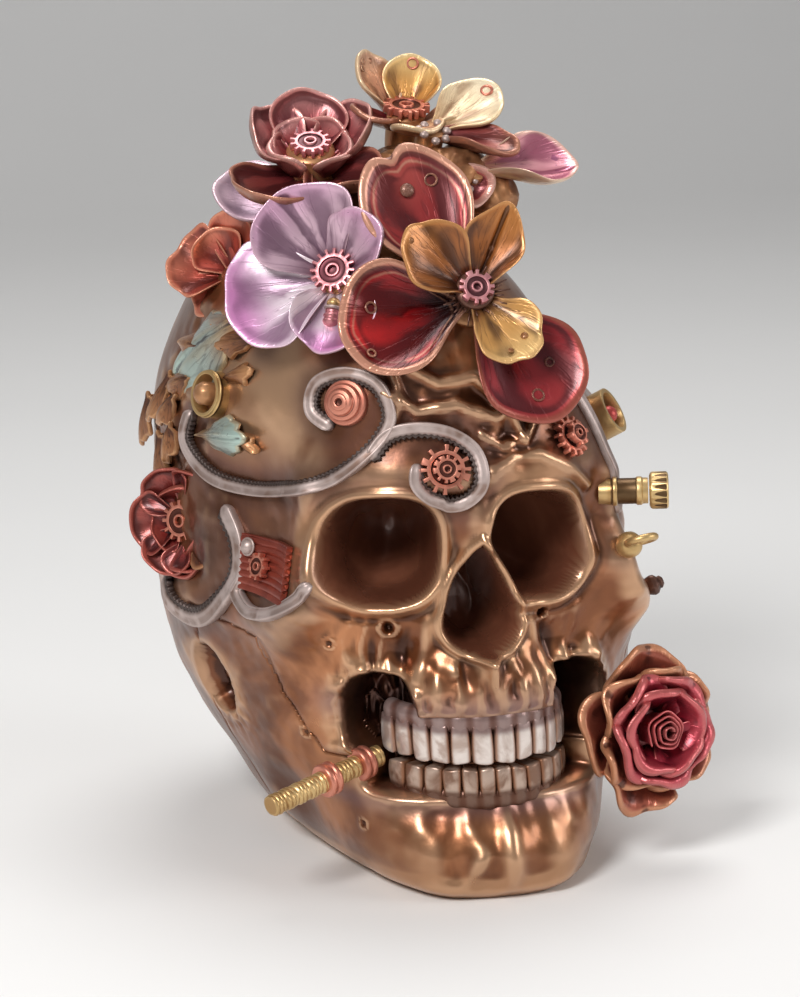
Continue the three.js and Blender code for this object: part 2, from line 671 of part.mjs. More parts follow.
// A ring on a frame, from its base upwards
function ringPiece(inner, outer, height, segments, frame) {
  return (grow) => {
    const [near, far] = [inner - grow, outer + grow];
    const [low, high] = [-grow, height + grow];
    return moved(turned([[near, low], [far, low], [far, high], [near, high], [near, low]], segments), frame);
  };
}

// A blossom: petals round a boss that runs back into its calyx and down to what carries it
const bossOutlineShares = [[0, 0], [0.8, 0], [1, 0.75], [1, 1], [0, 1]];

function blossom({ placeShares, look, reach, petalShares, bossShares, stemShare }) {
  const frame = frameAlong(facing(look), placeOf(placeShares));
  const root = frame.clone().multiply(new THREE.Matrix4().makeTranslation(0, 0, -stemShare * reach));
  const height = (bossShares[1] + stemShare) * reach;
  const boss = turnedPiece(bossOutlineShares, bossShares[0] * reach, height, SMALL_SEGMENTS, root);
  return (grow) => petalShares.reduce(
    (body, row) => body.add(petalSolid(row, reach, PETAL_THICKNESS, frame, grow)),
    boss(grow),
  );
}

function blossomGear({ placeShares, look, reach, bossShares }, teeth, radiusShare) {
  const frame = frameAlong(facing(look), placeOf(placeShares));
  frame.multiply(new THREE.Matrix4().makeTranslation(0, 0, bossShares[1] * reach + CLEARANCE));
  return (grow) => gearSolid(teeth, radiusShare * reach, frame, grow);
}

// Mound of casting under the top blossoms, which rest on it
const moundShares = { place: [-0.2, -0.1, 0.955], breadth: 0.86 };
settle('blossom_mound', (grow) => {
  const ball = new THREE.SphereGeometry(1, ROUND_SEGMENTS, SMALL_SEGMENTS).rotateX(Math.PI / 2);
  const wide = MOUND_RADIUS + grow;
  ball.scale(wide, moundShares.breadth * wide, MOUND_HEIGHT + grow);
  return moved(ball, new THREE.Matrix4().setPosition(placeOf(moundShares.place)));
}, finishes.brown);

const gold = {
  placeShares: [0.02, -0.76, 0.92], look: [-5, 28], reach: GOLD_REACH,
  petalShares: [
    [143, 22, 0, 1, 0.8, 0.5, 0, 0],
    [65, 22, 0, 1, 0.7, 0.55, 0, 0.8],
    [-59, 14, 0, 0.96, 0.78, 0.4, 0, 0],
  ],
  bossShares: [0.2, 0.16], stemShare: 0.14,
};
const crimson = {
  placeShares: [0.02, -0.71, 0.905], look: [-5, 28], reach: CRIMSON_REACH,
  petalShares: [
    [116, 6, 0.06, 1.1, 0.82, 0.3, 0, 0],
    [196, 8, 0.04, 0.92, 0.86, 0.4, 0, 0],
    [-53, 3, 0.04, 0.94, 0.84, 0.3, -0.1, 0],
  ],
  bossShares: [0.16, 0], stemShare: 0.4,
};
const lilac = {
  placeShares: [-0.5, -0.49, 0.935], look: [-33, 30], reach: LILAC_REACH,
  petalShares: [
    [131, 26, 0, 0.9, 1.06, 0.45, 0, 0],
    [208, 10, 0, 1.02, 1.12, 0.4, 0, 0],
    [52, 34, 0, 0.7, 0.7, 0.4, 0, 0],
    [284, 14, 0, 0.86, 0.8, 0.7, 0, 0],
  ],
  bossShares: [0.18, 0.13], stemShare: 0.5,
};
const dusky = {
  placeShares: [-0.51, -0.11, 1.07], look: [-15, 62], reach: DUSKY_REACH,
  petalShares: [
    [95, 46, 0.1, 0.95, 0.84, 0.5, 0, 0],
    [168, 44, 0.1, 0.98, 0.86, 0.5, 0, 0],
    [236, 14, 0.1, 1.2, 1.05, 0.5, 0, 0],
    [304, 20, 0.1, 1.1, 1, 0.5, 0, 0],
    [22, 42, 0.1, 1, 0.84, 0.5, 0, 0],
  ],
  bossShares: [0.28, 0.4], stemShare: 0.7,
};
const amber = {
  placeShares: [-0.07, -0.11, 1.14], look: [0, 75], reach: AMBER_REACH,
  petalShares: [
    [66, 60, 0.15, 0.85, 0.8, 0.5, 0, 0],
    [134, 52, 0.15, 0.98, 0.78, 0.5, 0, 0],
    [204, 24, 0.1, 0.8, 0.7, 0.4, 0, 0],
    [270, 18, 0.1, 0.75, 0.72, 0.4, 0, 0],
    [338, 20, 0.1, 0.7, 0.68, 0.4, 0, 0],
  ],
  bossShares: [0.24, 0.2], stemShare: 1.2,
};
const cream = {
  placeShares: [-0.01, -0.28, 1.135], look: [10, 62], reach: CREAM_REACH,
  petalShares: [
    [19, 20, 0, 1, 0.8, 0.3, 0, 0],
    [-38, 6, 0, 1, 0.58, 0.7, 0, 0.3],
  ],
  bossShares: [0.16, 0.1], stemShare: 0.9,
};
const pink = {
  placeShares: [0.16, -0.39, 1.085], look: [15, 50], reach: PINK_REACH,
  petalShares: [[-16, 5, 0, 1.04, 0.76, 1, 0, 0.8]],
  bossShares: [0.12, 0.02], stemShare: 0.5,
};
const violet = {
  placeShares: [-0.5, 0.06, 1], look: [-20, 48], reach: VIOLET_REACH,
  petalShares: [
    [172, 14, 0, 1, 0.9, 0.5, 0, 0],
    [14, 40, 0, 0.75, 0.8, 0.4, 0, 0],
  ],
  bossShares: [0.16, 0.04], stemShare: 0.6,
};
const copper = {
  placeShares: [-0.78, 0.16, 0.9], look: [-50, 30], reach: COPPER_REACH,
  petalShares: [
    [182, 24, 0, 1, 1, 0.6, 0, 0],
    [84, 34, 0, 0.98, 0.78, 0.5, 0, 0.6],
    [240, 8, 0, 0.8, 0.7, 0.5, 0, 0],
  ],
  bossShares: [0.2, 0.1], stemShare: 0.7,
};
const side = {
  placeShares: [-1.05, 0.05, 0.52], look: [-50, 8], reach: SIDE_REACH,
  petalShares: [40, 114, 186, 256, 328].map((turn) => [turn, 18, 0.12, 0.85, 0.76, 0.45, 0, 0]),
  bossShares: [0.26, 0.2], stemShare: 0.5,
};
const rose = {
  placeShares: [0.84, -0.64, 0.21], look: [12, 8], reach: ROSE_REACH,
  petalShares: [
    [98, 22, 0.05, 0.98, 0.9, 0.5, 0, 0],
    [30, 26, 0.05, 0.84, 0.84, 0.5, 0, 0],
    [-36, 24, 0.05, 0.86, 0.84, 0.5, 0, 0],
    [-108, 22, 0.05, 0.98, 0.88, 0.5, 0, 0],
    [176, 20, 0.05, 0.92, 0.9, 0.5, 0, 0],
  ],
  bossShares: [0.24, 0.14], stemShare: 0.7,
};
const roseMiddle = {
  placeShares: [0.86, -0.72, 0.215], look: [16, 8], reach: ROSE_REACH,
  petalShares: [60, 180, 300].map((turn) => [turn, 54, 0.22, 0.56, 0.66, 0.5, 0, 0]),
  bossShares: [0.26, 0.08], stemShare: 0.06,
};

settle('gold_blossom_gear', blossomGear(gold, 8, 0.18), finishes.copper);
settle('gold_blossom', blossom(gold), finishes.amber);
settle('crimson_blossom', blossom(crimson), finishes.crimson);
settle('lilac_blossom_gear', blossomGear(lilac, 12, 0.2), finishes.copper);
settle('lilac_blossom', blossom(lilac), finishes.lilac);
settle('cream_blossom', blossom(cream), finishes.cream);
settle('pink_petal', blossom(pink), finishes.pink);
settle('dusky_blossom_gear', blossomGear(dusky, 11, 0.235), finishes.copper);
settle('dusky_blossom', blossom(dusky), finishes.dusky);
settle('amber_blossom_gear', blossomGear(amber, 12, 0.29), finishes.copper);
settle('amber_blossom', blossom(amber), finishes.amber);
settle('violet_blossom', blossom(violet), finishes.lilac);
settle('copper_blossom', blossom(copper), finishes.copper);
settle('side_blossom_gear', blossomGear(side, 10, 0.31), finishes.copper);
settle('side_blossom', blossom(side), finishes.copper);
settle('rose_middle_petals', blossom(roseMiddle), finishes.crimson);
settle('rose_outer_petals', blossom(rose), finishes.copper);

// A curled bud beside the mound: a thin cup with a rolled lip
const budShares = { place: [0.14, -0.43, 1.065], look: [8, 15], height: 1.5, base: -1.3 };
const budOutlineShares = [
  [0, 0], [0.28, 0], [0.5, 0.5], [1, 0.86], [0.95, 1], [0.72, 0.96], [0.42, 0.68], [0, 0.6],
];
const budFrame = frameAlong(facing(budShares.look), placeOf(budShares.place))
  .multiply(new THREE.Matrix4().makeTranslation(0, 0, budShares.base * BUD_RADIUS));
settle('curled_bud', turnedPiece(budOutlineShares, BUD_RADIUS, budShares.height * BUD_RADIUS,
  SMALL_SEGMENTS, budFrame), finishes.pink);

// The heart of the rose
const roseHeartShares = { radius: 0.2, height: 0.4 };
const roseHeartOutlineShares = [[0, 0], [0.6, 0], [1, 0.45], [0.8, 0.8], [0.45, 1], [0, 0.9]];
const roseHeartFrame = frameAlong(facing(roseMiddle.look), placeOf(roseMiddle.placeShares))
  .multiply(new THREE.Matrix4().makeTranslation(0, 0, roseMiddle.bossShares[1] * ROSE_REACH + CLEARANCE));
settle('rose_heart', turnedPiece(roseHeartOutlineShares, roseHeartShares.radius * ROSE_REACH,
  roseHeartShares.height * ROSE_REACH, SMALL_SEGMENTS, roseHeartFrame), finishes.crimson);

// Bands: a strip of four-cornered sections that lies on the bone along a curve of [turn, rise] points
const bandTopShare = 0.7;
const bandStepShare = 1.7;
const BAND_SEAT = SEAT_CLEARANCE + CLEARANCE / 2;

function band(placeShares, width, rise) {
  const curve = new THREE.CatmullRomCurve3(placeShares.map((place) => onSkull(place).point));
  const steps = Math.round(curve.getLength() / (bandStepShare * width));
  const marks = curve.getSpacedPoints(steps);
  const tangents = marks.map((_, i) => curve.getTangentAt(i / steps));
  return (grow) => solidOf(ringLoft(marks.map((mark, i) => {
    const { point, normal } = underneath(mark);
    const across = normal.clone().cross(tangents[i]).normalize();
    const ends = [[0, -grow], [steps, grow]].find(([end]) => end === i);
    const base = point.clone().addScaledVector(tangents[i], ends ? ends[1] : 0);
    const corner = (out, up) => base.clone().addScaledVector(across, out).addScaledVector(normal, up);
    const half = width / 2 + grow;
    const [low, top] = [BAND_SEAT - grow, BAND_SEAT + rise + grow];
    const edge = bandTopShare * half;
    return [corner(-half, low), corner(half, low), corner(edge, top), corner(-edge, top)];
  })));
}

// The place on the skull along the ray through a point
function underneath(mark) {
  const x = mark.x - leanAt(mark.y, mark.z);
  const level = Math.hypot(x, mark.y - AXIS_SET_BACK);
  const turn = Math.atan2(x, AXIS_SET_BACK - mark.y) / DEGREE;
  const climb = Math.atan2(mark.z - CROWN_HEIGHT, level) / (Math.PI / 2);
  return onSkull([turn, climb > 0 ? 1 + climb : mark.z / CROWN_HEIGHT]);
}

const bandShares = {
  brow: [
    [-21, 1.05], [-17, 1.105], [-11, 1.12], [-4.4, 1.105], [0, 1.06], [0.4, 1], [-2.9, 0.955],
    [-8.4, 0.96], [-12, 1], [-11.7, 1.045],
  ],
  forehead: [
    [-29, 1.12], [-34, 1.16], [-33, 1.22], [-26, 1.245], [-19, 1.22], [-16.5, 1.15], [-20, 1.08],
    [-28, 1.01], [-40, 0.96], [-56, 0.93], [-70, 0.95], [-79, 1.02], [-77, 1.11],
  ],
  cheek: [[-34, 0.765], [-37, 0.72], [-41, 0.685], [-47, 0.66], [-53, 0.66], [-57, 0.69], [-54, 0.73]],
  templeRing: [[-90, 0.66], [-84, 0.6], [-74, 0.59], [-64, 0.64], [-58, 0.72], [-58, 0.8], [-64, 0.88]],
  templeStrip: [[27, 1.27], [31, 1.2], [34, 1.12], [36, 1.03], [37, 0.94], [38, 0.86]],
};
settle('brow_scroll', band(bandShares.brow, BAND_WIDTH, BAND_RISE), finishes.silver);
settle('forehead_scroll', band(bandShares.forehead, BAND_WIDTH, BAND_RISE), finishes.silver);
settle('cheek_scroll', band(bandShares.cheek, BAND_WIDTH, BAND_RISE), finishes.silver);
settle('temple_ring', band(bandShares.templeRing, TEMPLE_RING_WIDTH, BAND_RISE), finishes.silver);
settle('temple_strip', band(bandShares.templeStrip, BAND_WIDTH, STRIP_RISE), finishes.silver);

// Frame on the bone at a place, lifted off it
function standing(placeShares, lift) {
  const { point, normal } = onSkull(placeShares);
  return frameAlong(normal, point.addScaledVector(normal, lift));
}

const gearShares = { brow: [-6.4, 1.03], temple: [22.5, 1.07], panel: [-48, 0.76] };
const GEAR_LIFT = BAND_SEAT;
const PINION_LIFT = GEAR_LIFT + GEAR_THICKNESS + CLEARANCE;
const PANEL_GEAR_LIFT = BAND_SEAT + PANEL_THICKNESS + CLEARANCE;

function boneGear(placeShares, teeth, radius, lift) {
  const frame = standing(placeShares, lift);
  return (grow) => gearSolid(teeth, radius, frame, grow);
}

settle('brow_gear', boneGear(gearShares.brow, 12, BROW_GEAR_RADIUS, GEAR_LIFT), finishes.copper);
settle('brow_pinion', boneGear(gearShares.brow, 8, BROW_PINION_RADIUS, PINION_LIFT), finishes.copper);
settle('temple_gear', boneGear(gearShares.temple, 11, TEMPLE_GEAR_RADIUS, GEAR_LIFT), finishes.copper);
settle('temple_pinion', boneGear(gearShares.temple, 7, TEMPLE_PINION_RADIUS, PINION_LIFT), finishes.copper);

// A copper panel that wraps the temple, with its own gear and rivet
const panelShares = { turns: [-56, -40], rises: [0.7, 0.83] };
const evenShares = Array.from({ length: PANEL_STEPS + 1 }, (_, i) => i / PANEL_STEPS);
settle('temple_panel', (grow) => {
  const grid = (lift) => [...evenShares].reverse().map((up) => evenShares.map((across) => {
    const turn = THREE.MathUtils.lerp(...panelShares.turns, across) * DEGREE;
    return skullPoint(turn, THREE.MathUtils.lerp(...panelShares.rises, up), lift);
  }));
  return solidOf(shellBetween(grid(BAND_SEAT + PANEL_THICKNESS + grow), grid(BAND_SEAT - grow)));
}, finishes.copper);
settle('panel_gear', boneGear(gearShares.panel, 8, PANEL_GEAR_RADIUS, PANEL_GEAR_LIFT), finishes.copper);

const domeShares = [[0, 0], [1, 0], [0.85, 0.55], [0.5, 0.9], [0, 1]];
const ballShares = [[0, 0], [0.72, 0.15], [1, 0.5], [0.72, 0.85], [0, 1]];
const rivetShares = [-53, 0.8];
settle('temple_rivet', turnedPiece(domeShares, RIVET_RADIUS, RIVET_RADIUS, SMALL_SEGMENTS,
  standing(rivetShares, PANEL_GEAR_LIFT)), finishes.silver);

// Stepped knob in the forehead scroll
const knobShares = [-26, 1.18];
const knobOutlineShares = [[0, 0], [1, 0], [1, 0.5], [0.7, 0.5], [0.7, 0.75], [0.4, 0.75], [0.4, 1], [0, 1]];
settle('forehead_knob', turnedPiece(knobOutlineShares, KNOB_RADIUS, KNOB_HEIGHT + TRIM_SINK, SMALL_SEGMENTS,
  standing(knobShares, -TRIM_SINK)), finishes.copper);

// Leaves: long petals laid on the bone
// Row: place, turn, width as a share of the reach, and bow
const leafShares = {
  teal: [[-58, 1.4], 208, 0.56, -0.32],
  forehead: [[-72, 1.05], 6, 0.52, -0.1],
  brow: [[-52, 1.34], 190, 0.5, -0.12],
  upperSide: [[-92, 1.2], 235, 0.5, -0.1],
  lowerSide: [[-94, 1.02], 250, 0.55, -0.1],
  backSide: [[-108, 1.1], 240, 0.5, -0.12],
};
const leafTiltDegrees = 4;
const leafFormShares = { dish: -0.2, point: 0.9 };

function leaf([placeShares, turn, width, bow], reach) {
  const row = [turn, leafTiltDegrees, 0, 1, width, leafFormShares.dish, bow, leafFormShares.point];
  const frame = standing(placeShares, LEAF_LIFT);
  return (grow) => petalSolid(row, reach, LEAF_THICKNESS, frame, grow);
}

settle('teal_leaf', leaf(leafShares.teal, TEAL_LEAF_REACH), finishes.teal);
settle('forehead_leaf', leaf(leafShares.forehead, SMALL_LEAF_REACH), finishes.teal);
settle('brow_leaf', leaf(leafShares.brow, SMALL_LEAF_REACH), finishes.brown);
settle('upper_side_leaf', leaf(leafShares.upperSide, BROWN_LEAF_REACH), finishes.brown);
settle('lower_side_leaf', leaf(leafShares.lowerSide, BROWN_LEAF_REACH), finishes.brown);
settle('back_side_leaf', leaf(leafShares.backSide, BROWN_LEAF_REACH), finishes.brown);

// A ribbon ring round a short nub
const ribbonShares = [-68, 1.17];
const nubOutlineShares = [[0, 0], [1, 0], [1, 0.85], [0.5, 1], [0, 1]];
settle('ribbon_nub', turnedPiece(nubOutlineShares, NUB_RADIUS, RIBBON_WIDTH + TRIM_SINK + TRIM_SINK,
  SMALL_SEGMENTS, standing(ribbonShares, -TRIM_SINK)), finishes.silver);
settle('ribbon_ring', ringPiece(RIBBON_RADIUS - RIBBON_WALL, RIBBON_RADIUS, RIBBON_WIDTH + TRIM_SINK,
  ROUND_SEGMENTS, standing(ribbonShares, -TRIM_SINK)), finishes.brass);

// Brass fittings beside the left orbit
const nozzleShares = [35, 0.92];
const nozzleLookDegrees = [72, 2];
const nozzleFrame = frameAlong(facing(nozzleLookDegrees), onSkull(nozzleShares).point)
  .multiply(new THREE.Matrix4().makeTranslation(0, 0, -TRIM_SINK));
const tubeShares = [[0, 0], [1, 0], [1, 1], [0, 1]];
const capShares = [[0, 0], [0.8, 0], [1, 0.18], [1, 0.82], [0.8, 1], [0, 1]];
settle('nozzle_body', turnedPiece(tubeShares, NOZZLE_RADIUS, NOZZLE_LENGTH + TRIM_SINK, ROUND_SEGMENTS,
  nozzleFrame), finishes.brass);
const capFrame = nozzleFrame.clone()
  .multiply(new THREE.Matrix4().makeTranslation(0, 0, NOZZLE_LENGTH + TRIM_SINK + CLEARANCE));
settle('nozzle_cap', turnedPiece(capShares, NOZZLE_CAP_RADIUS, NOZZLE_CAP_LENGTH, ROUND_SEGMENTS,
  capFrame), finishes.brass);

const ballPlaceShares = [35, 0.79];
settle('brass_ball', turnedPiece(ballShares, BALL_RADIUS, 2 * BALL_RADIUS, SMALL_SEGMENTS,
  standing(ballPlaceShares, -BALL_SINK)), finishes.brass);
const LOOP_LIFT = 2 * BALL_RADIUS - BALL_SINK + LOOP_RADIUS / 2;
const loopFrame = standing(ballPlaceShares, LOOP_LIFT);
settle('ball_loop', (grow) => {
  const ring = new THREE.TorusGeometry(LOOP_RADIUS, LOOP_WIRE + grow, WIRE_SEGMENTS, SMALL_SEGMENTS);
  return moved(ring.rotateX(Math.PI / 2), loopFrame);
}, finishes.brass);

const clampShares = [46, 1.08];
const clampLookDegrees = [58, 30];
const clampFrame = frameAlong(facing(clampLookDegrees), onSkull(clampShares).point)
  .multiply(new THREE.Matrix4().makeTranslation(0, 0, -TRIM_SINK));
settle('ring_clamp', ringPiece(CLAMP_RADIUS - CLAMP_WALL, CLAMP_RADIUS, CLAMP_WIDTH + TRIM_SINK,
  ROUND_SEGMENTS, clampFrame), finishes.brass);

const beadShares = { upper: [46, 1.08], lower: [34, 1.2] };
settle('upper_bead', turnedPiece(ballShares, BEAD_RADIUS, 2 * BEAD_RADIUS, SMALL_SEGMENTS,
  standing(beadShares.upper, CLEARANCE)), finishes.crimson);
settle('lower_bead', turnedPiece(ballShares, BEAD_RADIUS, 2 * BEAD_RADIUS, SMALL_SEGMENTS,
  standing(beadShares.lower, CLEARANCE - BEAD_RADIUS / 2)), finishes.crimson);

const pendantShares = [47, 0.66];
settle('dark_pendant', turnedPiece(ballShares, PENDANT_RADIUS, 2 * PENDANT_RADIUS, SMALL_SEGMENTS,
  standing(pendantShares, -PENDANT_RADIUS / 2)), finishes.brown);

// The threaded stem that leaves the corner of the mouth, with its two collars
const stemShares = { place: [-0.4, -0.7, 0.205], collars: [0.1, 0.42], taper: 0.7 };
const stemLookDegrees = [-65, -10];
const stemThreads = 6;
const stemFrame = frameAlong(facing(stemLookDegrees), placeOf(stemShares.place));
const collarOutlineShares = [[0.9, 0], [1, 0.3], [1, 0.7], [0.9, 1]];

function collar(share) {
  return (grow) => {
    const low = share * STEM_LENGTH - grow;
    const inner = STEM_RADIUS + CLEARANCE - grow;
    const outer = collarOutlineShares.map(([out, up]) => (
      [out * (COLLAR_RADIUS + grow), low + up * (COLLAR_LENGTH + 2 * grow)]));
    const [base, top] = [outer[0][1], outer[outer.length - 1][1]];
    return moved(turned([[inner, base], ...outer, [inner, top], [inner, base]], ROUND_SEGMENTS), stemFrame);
  };
}

settle('mouth_collar', collar(stemShares.collars[0]), finishes.copper);
settle('stem_collar', collar(stemShares.collars[1]), finishes.copper);
settle('threaded_stem', (grow) => {
  const [crest, root] = [STEM_RADIUS + grow, STEM_RADIUS - STEM_THREAD + grow];
  const outline = [[0, -grow], [root, -grow]];
  for (let i = 0; i < stemThreads; i += 1) {
    outline.push([crest, ((i + 0.5) / stemThreads) * STEM_LENGTH]);
    outline.push([root, ((i + 1) / stemThreads) * STEM_LENGTH]);
  }
  outline.push([0, STEM_LENGTH]);
  return moved(turned(outline, SMALL_SEGMENTS), stemFrame);
}, finishes.brass);

// The small winged ornament on the lip of the lilac blossom
const beeShares = { place: [0.05, -0.52, 0.16], length: 3.4 };
const beePlace = new THREE.Vector3(...beeShares.place).multiplyScalar(LILAC_REACH);
const beeFrame = frameAlong(facing(lilac.look), placeOf(lilac.placeShares))
  .multiply(new THREE.Matrix4().setPosition(beePlace))
  .multiply(new THREE.Matrix4().makeRotationX(-Math.PI / 2));
settle('lilac_blossom_bee', turnedPiece(ballShares, BEE_RADIUS, beeShares.length * BEE_RADIUS,
  SMALL_SEGMENTS, beeFrame), finishes.silver);

export default decoration;
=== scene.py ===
import math

import bpy
import numpy as np
from mathutils import Matrix, Vector, noise


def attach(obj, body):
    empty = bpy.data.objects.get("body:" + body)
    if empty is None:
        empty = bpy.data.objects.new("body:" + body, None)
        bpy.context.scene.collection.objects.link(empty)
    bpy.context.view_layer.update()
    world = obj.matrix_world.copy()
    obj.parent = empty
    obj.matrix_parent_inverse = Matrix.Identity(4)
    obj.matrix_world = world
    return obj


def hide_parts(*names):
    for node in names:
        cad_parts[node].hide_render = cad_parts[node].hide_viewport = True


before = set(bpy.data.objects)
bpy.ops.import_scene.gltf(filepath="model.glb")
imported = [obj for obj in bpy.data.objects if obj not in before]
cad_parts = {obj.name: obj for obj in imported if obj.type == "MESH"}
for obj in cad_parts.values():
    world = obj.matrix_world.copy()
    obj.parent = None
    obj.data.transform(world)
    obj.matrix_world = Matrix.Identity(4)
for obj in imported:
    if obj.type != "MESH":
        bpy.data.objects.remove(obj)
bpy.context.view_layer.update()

# Lengths are in millimetres, as on the drawing of the skull, and meshes are set in metres
MM = 0.001
HALF_WIDTH = 51
HEIGHT = 149
FACE_REACH = 63
BACK_REACH = 66
AXIS_SET_BACK = 6
BACK_DRIFT = 8
BACK_SQUARENESS = 2.2
LEAN = 0.055
CROWN_SHARE = 0.65
CROWN_HEIGHT = CROWN_SHARE * HEIGHT
CROWN_SQUARENESS = 2.25
# How far the crown is drawn in on its left, and let out on its right
DRAWN_IN, LET_OUT = 0.28, -0.07

ORBITS_SET_OVER, ORBITS_APART, ORBIT_LEVEL = 3, 17.4, 0.54 * HEIGHT
ORBIT_HALF_WIDTH, ORBIT_HALF_HEIGHT, ORBIT_SQUARENESS = 12.1, 12.8, 2.5
ORBIT_SLANT, ORBIT_DEPTH = 0.1, 27
NOSE_LEVEL, NOSE_HEIGHT, NOSE_HALF_WIDTH, NOSE_DEPTH = 0.378 * HEIGHT, 27, 9.4, 20
NOSE_WIDEST = 0.25
CHEEKS_APART, CHEEK_LEVEL, CHEEK_DEPTH = 23.7, 0.275 * HEIGHT, 17
CHEEK_HALF_WIDTH, CHEEK_HALF_HEIGHT, CHEEK_SQUARENESS = 8.25, 11.25, 2.6
# The pocket under the cheek arch: shares of the reach and of the height, and its depth
POCKET_REACH, POCKET_LEVEL, POCKET_DEPTH = -0.1, 0.275, 6

ARCH_HALF_WIDTH, ARCH_DEPTH, ARCH_MIDDLE, ARCH_SPAN = 22.5, 24, -37.8, 0.46 * np.pi
BITE = 0.208 * HEIGHT
# The seat of the gums, from its foot to its top
SEAT_FOOT, SEAT_TOP, SEAT_BORDER = 22.64, 42.89, 3


def smooth(low, high, value):
    t = np.clip((np.asarray(value, float) - low) / (high - low), 0, 1)
    return t * t * (3 - 2 * t)


def bump(distance):
    return np.exp(-np.asarray(distance, float) ** 2)


def unit(v):
    v = np.asarray(v, float)
    return v / np.linalg.norm(v, axis=-1, keepdims=True)


# The skull: a surface of rays from its axis, and above the crown's middle from one point

# Height share, then reach to the front, half width, reach to the back, and squareness in front
SECTIONS = np.array([
    [0, 1.07, 0.54, 0.46, 2.5],
    [0.02, 1.115, 0.61, 0.5, 2.7],
    [0.06, 1.145, 0.69, 0.57, 2.7],
    [0.115, 1.13, 0.77, 0.65, 2.45],
    [0.17, 1.075, 0.865, 0.74, 2.15],
    [0.225, 1.055, 0.94, 0.83, 2],
    [0.285, 1.03, 1, 0.9, 1.95],
    [0.365, 1.0, 1.035, 0.97, 2],
    [0.445, 0.97, 1.04, 1, 2.1],
    [0.54, 0.955, 1.03, 1.01, 2.2],
    [CROWN_SHARE, 1, 1, 1, 2.1],
])
# Swellings and dips on both sides: place, reach and rise
SWELLINGS = [
    [0.33, -0.79, 0.655, 0.29, 0.5, 0.04, 0.058],
    [0, -0.95, 0.64, 0.17, 0.5, 0.047, 0.04],
    [0.38, -0.79, 0.825, 0.33, 0.5, 0.09, 0.04],
    [0.83, -0.43, 0.62, 0.27, 0.23, 0.1, -0.087],
    [0, -0.98, 0.565, 0.096, 0.5, 0.054, 0.106],
    [0, -0.98, 0.625, 0.135, 0.5, 0.02, -0.03],
    [0, -1.08, 0.06, 0.25, 0.5, 0.05, 0.045],
    [0, -1.02, 0.15, 0.46, 0.5, 0.034, -0.055],
    [0, -0.98, 0.32, 0.36, 0.5, 0.054, 0.058],
    [0.385, -0.82, 0.375, 0.135, 0.5, 0.045, -0.07],
    [0, -0.98, 0.372, 0.04, 0.5, 0.028, 0.096],
]
# Ridges on both sides: from one place to another, with reach and rise
RIDGES = [
    [0.69, -0.69, 0.485, 0.77, -0.56, 0.405, 0.154, 0.096],
    [0.77, -0.56, 0.425, 0.98, 0.03, 0.405, 0.115, 0.06],
    [0.71, -0.66, 0.445, 0.69, -0.66, 0.62, 0.096, 0.067],
    [0.69, -0.36, 0.35, 0.6, -0.16, 0.12, 0.173, 0.058],
    [0.6, -0.2, 0.1, 0.27, -0.92, 0.04, 0.135, 0.048],
]
# Where the mandible parts from the cranium, seen from the side
JAW_OUTLINE = [[-2, -0.1], [-2, 0.208], [-0.62, 0.208], [-0.5, 0.3], [-0.48, 0.38], [-0.1, 0.4],
               [-0.02, 0.3], [0.02, 0.12], [0.02, -0.1]]


def lean_at(y, z):
    return -LEAN * (z - 0.5 * HEIGHT) - BACK_DRIFT * smooth(-0.7, 0.64, y / FACE_REACH)


def curve_between(start, start_slope, end, end_slope, t):
    return ((2 * t**3 - 3 * t**2 + 1) * start + (t**3 - 2 * t**2 + t) * start_slope
            + (3 * t**2 - 2 * t**3) * end + (t**3 - t**2) * end_slope)


def section(column, share):
    heights, values = SECTIONS[:, 0], SECTIONS[:, column]
    last = len(heights) - 1
    after, before = np.minimum(np.arange(last) + 1, last), np.maximum(np.arange(last) - 1, 0)
    slopes = (values[after] - values[before]) / (heights[after] - heights[before])
    slopes = np.append(slopes, 0)
    i = np.searchsorted(heights[1:-1], share, side="left")
    step = heights[i + 1] - heights[i]
    t = np.clip((share - heights[i]) / step, 0, 1)
    return curve_between(values[i], step * slopes[i], values[i + 1], step * slopes[i + 1], t)


def plain_reach(turn, share):
    across = np.abs(np.sin(turn)) / (HALF_WIDTH * section(2, share))
    front = np.cos(turn) > 0
    reach = np.where(front, FACE_REACH * section(1, share), BACK_REACH * section(3, share))
    power = np.where(front, section(4, share), BACK_SQUARENESS)
    return (across**power + (np.abs(np.cos(turn)) / reach) ** power) ** (-1 / power)


def line_distance(points, start, end):
    start, end = np.array(start, float), np.array(end, float)
    way = end - start
    t = np.clip(((points - start) @ way) / (way @ way), 0, 1)
    return np.linalg.norm(points - start - t[..., None] * way, axis=-1)


def orbit_edge(x, z):
    """1 on the border of the orbits, and less within them"""
    out = np.abs(x + ORBITS_SET_OVER) - ORBITS_APART
    across = np.abs(out) / ORBIT_HALF_WIDTH
    up = np.abs(z - ORBIT_LEVEL + ORBIT_SLANT * out) / ORBIT_HALF_HEIGHT
    return (across**ORBIT_SQUARENESS + up**ORBIT_SQUARENESS) ** (1 / ORBIT_SQUARENESS)


def nose_edge(side, z):
    up = (z - NOSE_LEVEL) / NOSE_HEIGHT
    across = side / NOSE_HALF_WIDTH
    above = across + np.maximum((up - NOSE_WIDEST) / (1 - NOSE_WIDEST), 0) ** 1.6
    below = np.hypot(across, (NOSE_WIDEST - up) / NOSE_WIDEST)
    return np.where(up < NOSE_WIDEST, below, above)


def orbit_depth(x, z):
    edge = orbit_edge(x, z)
    bowl = 0.35 * smooth(1.03, 0.8, edge) + 0.65 * np.sqrt(smooth(1.0, 0.1, edge))
    return ORBIT_DEPTH * bowl * smooth(1.16, 1.42, nose_edge(np.abs(x), z))


